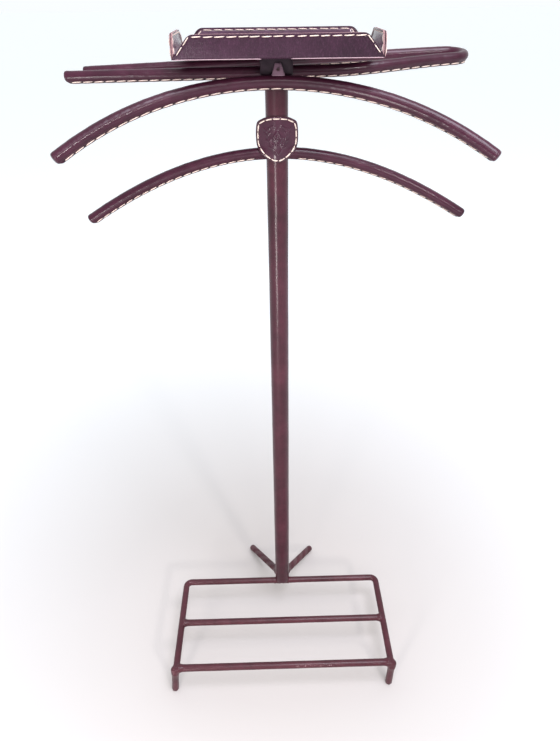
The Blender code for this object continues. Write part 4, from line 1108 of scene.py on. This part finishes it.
def foot_after(p, no):
    x, y, z = p[:, 0], p[:, 1], p[:, 2]
    w = 0.22 * np.sin(x * 0.7 + z * 0.5) * np.sin(z * 0.45 + y * 0.3) + 0.14 * np.sin(x * 1.3 - y * 0.8 + z * 0.9)
    low = np.exp(-((z - 61.5) / 2.2) ** 2)
    w = w * (0.6 + low) + 0.5 * low * np.sin(x * 0.55 + 1.0) ** 2
    return p + no * w[:, None]


foot = skin("post_foot_wrap", fparts, MAT_BASE, 0.95, 10, foot_after, lambda p: {"hole": np.zeros(len(p)), "wear": np.zeros(len(p))})

for side in ("left", "right"):
    a, ax, L = rear_line(side, 0)
    ts = np.concatenate([np.arange(6.0, L - 1.0, 0.55), L + 6.8 * np.sin(np.linspace(-0.1, math.pi / 2, 14))])
    ref = np.array([0, 0, -1.0])
    d = norm((ref - ax * (ax @ ref))[None])[0]
    s = np.cross(ax, d)
    n = 48
    verts, faces, wr = [], [], []
    seed = 0.0 if side == "left" else 2.3
    for t in ts:
        if t <= L:
            r = 6.8
        else:
            r = math.sqrt(max(0.0, 6.8 ** 2 - (t - L) ** 2)) + 0.02
        for k in range(n):
            g = 2 * math.pi * k / n
            # fine gathered ribs across the leg, irregular round it
            rib = 0.5 + 0.5 * math.sin(2 * math.pi * (t / 4.0) + 0.9 * math.sin(g + seed) + 0.5 * math.sin(t * 0.11 + seed))
            amp = 0.95 * (0.55 + 0.45 * math.sin(t * 0.17 + 2 * g + seed)) * (1.0 if t < L - 6 else 0.25)
            rr = r - amp * rib * (r / 6.8)
            verts.append(a + ax * t + d * rr * math.cos(g) + s * rr * math.sin(g))
    for i in range(len(ts) - 1):
        for k in range(n):
            p_, q_ = i * n + k, i * n + (k + 1) % n
            faces.append((p_, q_, q_ + n, p_ + n))
    faces.append(tuple(range(n))[::-1])
    faces.append(tuple(range((len(ts) - 1) * n, len(ts) * n)))
    verts = np.array(verts)
    verts[:, 2] = np.maximum(verts[:, 2], 0.0)
    rl = mesh("rear_leg_wrap_" + side, verts, faces, MAT_BASE, attrs={"hole": np.zeros(len(verts)), "wear": np.zeros(len(verts))})
    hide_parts("rear_leg_leather_" + side, "rear_foot_cap_" + side)

# ------------------------------------------------------------ head under the tray
def box_part(x0, x1, y0, y1, z0, z1, chamfer=0.0):
    """box with chamfered upper side corners"""
    c = chamfer
    prof = [(x0, z0), (x1, z0), (x1, z1 - c), (x1 - c, z1), (x0 + c, z1), (x0, z1 - c)] if c else [(x0, z0), (x1, z0), (x1, z1), (x0, z1)]
    n = len(prof)
    v = [(x, y0, z) for x, z in prof] + [(x, y1, z) for x, z in prof]
    f = [tuple(range(n))[::-1], tuple(range(n, 2 * n))] + [(k, (k + 1) % n, n + (k + 1) % n, n + k) for k in range(n)]
    return np.array(v, float), f


_cl, _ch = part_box("post_yoke_cover")
c0, c1 = np.array(_cl) * 1000 - OFF, np.array(_ch) * 1000 - OFF
# head cover skinned in the near-black material with painted shade
head = skin("head_cover", [box_part(c0[0] + 1.3, c1[0] - 1.3, c0[1], c1[1], c0[2] - 1.5, c1[2] + 0.2, 5.0)], MAT_HEAD_SHADE, 0.9, 6,
            lambda p, no: p + no * (0.12 * np.sin(p[:, 0] * 0.4) * np.sin(p[:, 2] * 0.5))[:, None])
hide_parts("post_yoke_cover")
_gl, _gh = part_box("arm_gusset")
g0, g1 = np.array(_gl) * 1000 - OFF, np.array(_gh) * 1000 - OFF
gm = (g0[0] + g1[0]) / 2
gv = np.array([(gm - 8.0, g0[1], g0[2] - 1.0), (gm + 8.0, g0[1], g0[2] - 1.0), (gm + 8.0, g1[1] + 1, g0[2] - 1.0), (gm - 8.0, g1[1] + 1, g0[2] - 1.0),
               (gm - 3.6, g1[1] - 1.4, g1[2] + 0.6), (gm + 3.6, g1[1] - 1.4, g1[2] + 0.6), (gm + 3.6, g1[1] + 1, g1[2] + 0.6), (gm - 3.6, g1[1] + 1, g1[2] + 0.6)])
gf = [(0, 3, 2, 1), (4, 5, 6, 7), (0, 1, 5, 4), (1, 2, 6, 5), (2, 3, 7, 6), (3, 0, 4, 7)]
# gusset skin in the pale material with painted light
gus = skin("gusset_wrap", [(gv, gf)], MAT_GUSSET_LIT, 0.6, 5)
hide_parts("arm_gusset")

# ----------------------------------------------------- CAD nodes that stay as they are
for name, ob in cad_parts.items():
    m = None
    if name in ("tray_plate", "post_yoke"):
        m = MAT_BLACK
    elif name == "gusset_rivet":
        m = MAT_RIVET
    elif "rod" in name or name in ("post_tube", "post_foot_plug", "post_top_plug", "jacket_arm_weld_stud") or name.startswith("tray_screw"):
        m = MAT_STEEL
    elif "thread" in name:
        m = MAT_THREAD
    else:
        m = MAT_LEATHER
    if m is not None:
        ob.data.materials.clear()
        ob.data.materials.append(m)

# ------------------------------------------------------------------ stage, light
fl_me = bpy.data.meshes.new("floor")
S_ = 40.0
fl_me.from_pydata([(-S_, -S_, 0), (S_, -S_, 0), (S_, S_, 0), (-S_, S_, 0)], [], [(0, 1, 2, 3)])
floor = bpy.data.objects.new("floor", fl_me)
bpy.context.scene.collection.objects.link(floor)
fm, nt, b = new_mat("pale_floor_painted_glow")
tc = nt.nodes.new("ShaderNodeTexCoord")
ln = nt.nodes.new("ShaderNodeVectorMath")
ln.operation = "LENGTH"
link(nt, tc.outputs["Object"], ln.inputs[0])
# floor colour paler and cooler further from the stand
fade = ramp(nt, mathn(nt, "MULTIPLY", ln.outputs["Value"], 0.25), [(0.05, (0.52, 0.480, 0.460)), (0.36, (0.80, 0.82, 0.83))])
link(nt, fade, b.inputs["Base Color"])
b.inputs["Roughness"].default_value = 0.8
b.inputs["Specular IOR Level"].default_value = 0.1
# painted light: the floor glows, more strongly further from the stand, so that it fades into the white world
b.inputs["Emission Color"].default_value = (0.93, 0.97, 1.0, 1.0)
link(nt, ramp(nt, mathn(nt, "MULTIPLY", ln.outputs["Value"], 0.25), [(0.10, 0.04), (0.45, 0.34)]), b.inputs["Emission Strength"])
fl_me.materials.append(fm)

world = bpy.data.worlds.new("studio")
bpy.context.scene.world = world
world.use_nodes = True
bg = world.node_tree.nodes["Background"]
wt = world.node_tree
wtc = wt.nodes.new("ShaderNodeTexCoord")
wsp = wt.nodes.new("ShaderNodeSeparateXYZ")
link(wt, wtc.outputs["Generated"], wsp.inputs[0])
wmr = wt.nodes.new("ShaderNodeMapRange")
link(wt, wsp.outputs["Y"], wmr.inputs["Value"])
wmr.inputs["From Min"].default_value = -0.55
wmr.inputs["From Max"].default_value = 0.45
wmr.inputs["To Min"].default_value = 0.60
wmr.inputs["To Max"].default_value = 1.02
link(wt, wmr.outputs["Result"], bg.inputs["Strength"])
bg.inputs["Color"].default_value = (0.94, 0.972, 1.0, 1.0)
bpy.context.scene.view_settings.view_transform = "Standard"


def area(name, loc, target, size, power, color=(1, 1, 1), size_y=None):
    li = bpy.data.lights.new(name, "AREA")
    li.energy = power
    li.color = color
    li.shape = "RECTANGLE"
    li.size = size
    li.size_y = size_y or size
    ob = bpy.data.objects.new(name, li)
    bpy.context.scene.collection.objects.link(ob)
    ob.location = loc
    ob.rotation_euler = (Vector(target) - Vector(loc)).to_track_quat("-Z", "Y").to_euler()
    return ob


area("overhead", (0.46, -0.72, 2.60), (0.15, 0, 0.9), 1.0, 52.0, (0.88, 0.90, 1.0), 1.25)
area("front_right", (1.13, -2.2, 1.62), (0, 0, 0.95), 0.24, 20.0, (1.0, 0.97, 0.96), 0.24)
area("low_left", (-0.53, -1.18, 0.36), (0, 0, 0.8), 0.18, 10.0, (1.0, 0.95, 0.93), 0.60)
area("front_soft", (0.0, -2.1, 2.25), (0, 0, 0.95), 1.0, 10.0, (1.0, 0.97, 0.98), 0.7)

# ------------------------------------------------------------------------ camera
TH_, RHO, PSI, FPX = 0.5897023, 0.0117077, 0.0187330, 573.1587
f0 = np.array([math.sin(PSI) * math.cos(TH_), math.cos(PSI) * math.cos(TH_), -math.sin(TH_)])
r0 = np.array([math.cos(PSI), -math.sin(PSI), 0.0])
d0 = np.cross(f0, r0)
R_ = math.cos(RHO) * r0 + math.sin(RHO) * d0
D_ = -math.sin(RHO) * r0 + math.cos(RHO) * d0
cam_data = bpy.data.cameras.new("photo_camera")
cam_data.sensor_fit = "AUTO"
cam_data.sensor_width = 36.0
cam_data.lens = FPX / 741.0 * 36.0
cam_data.clip_start = 0.01
cam_data.clip_end = 60.0
cam = bpy.data.objects.new("photo_camera", cam_data)
bpy.context.scene.collection.objects.link(cam)
loc = M((-14.17, -771.31, 1122.51))
mw = Matrix(((R_[0], -D_[0], -f0[0], loc[0]), (R_[1], -D_[1], -f0[1], loc[1]), (R_[2], -D_[2], -f0[2], loc[2]), (0, 0, 0, 1)))
cam.matrix_world = mw
bpy.context.scene.camera = cam
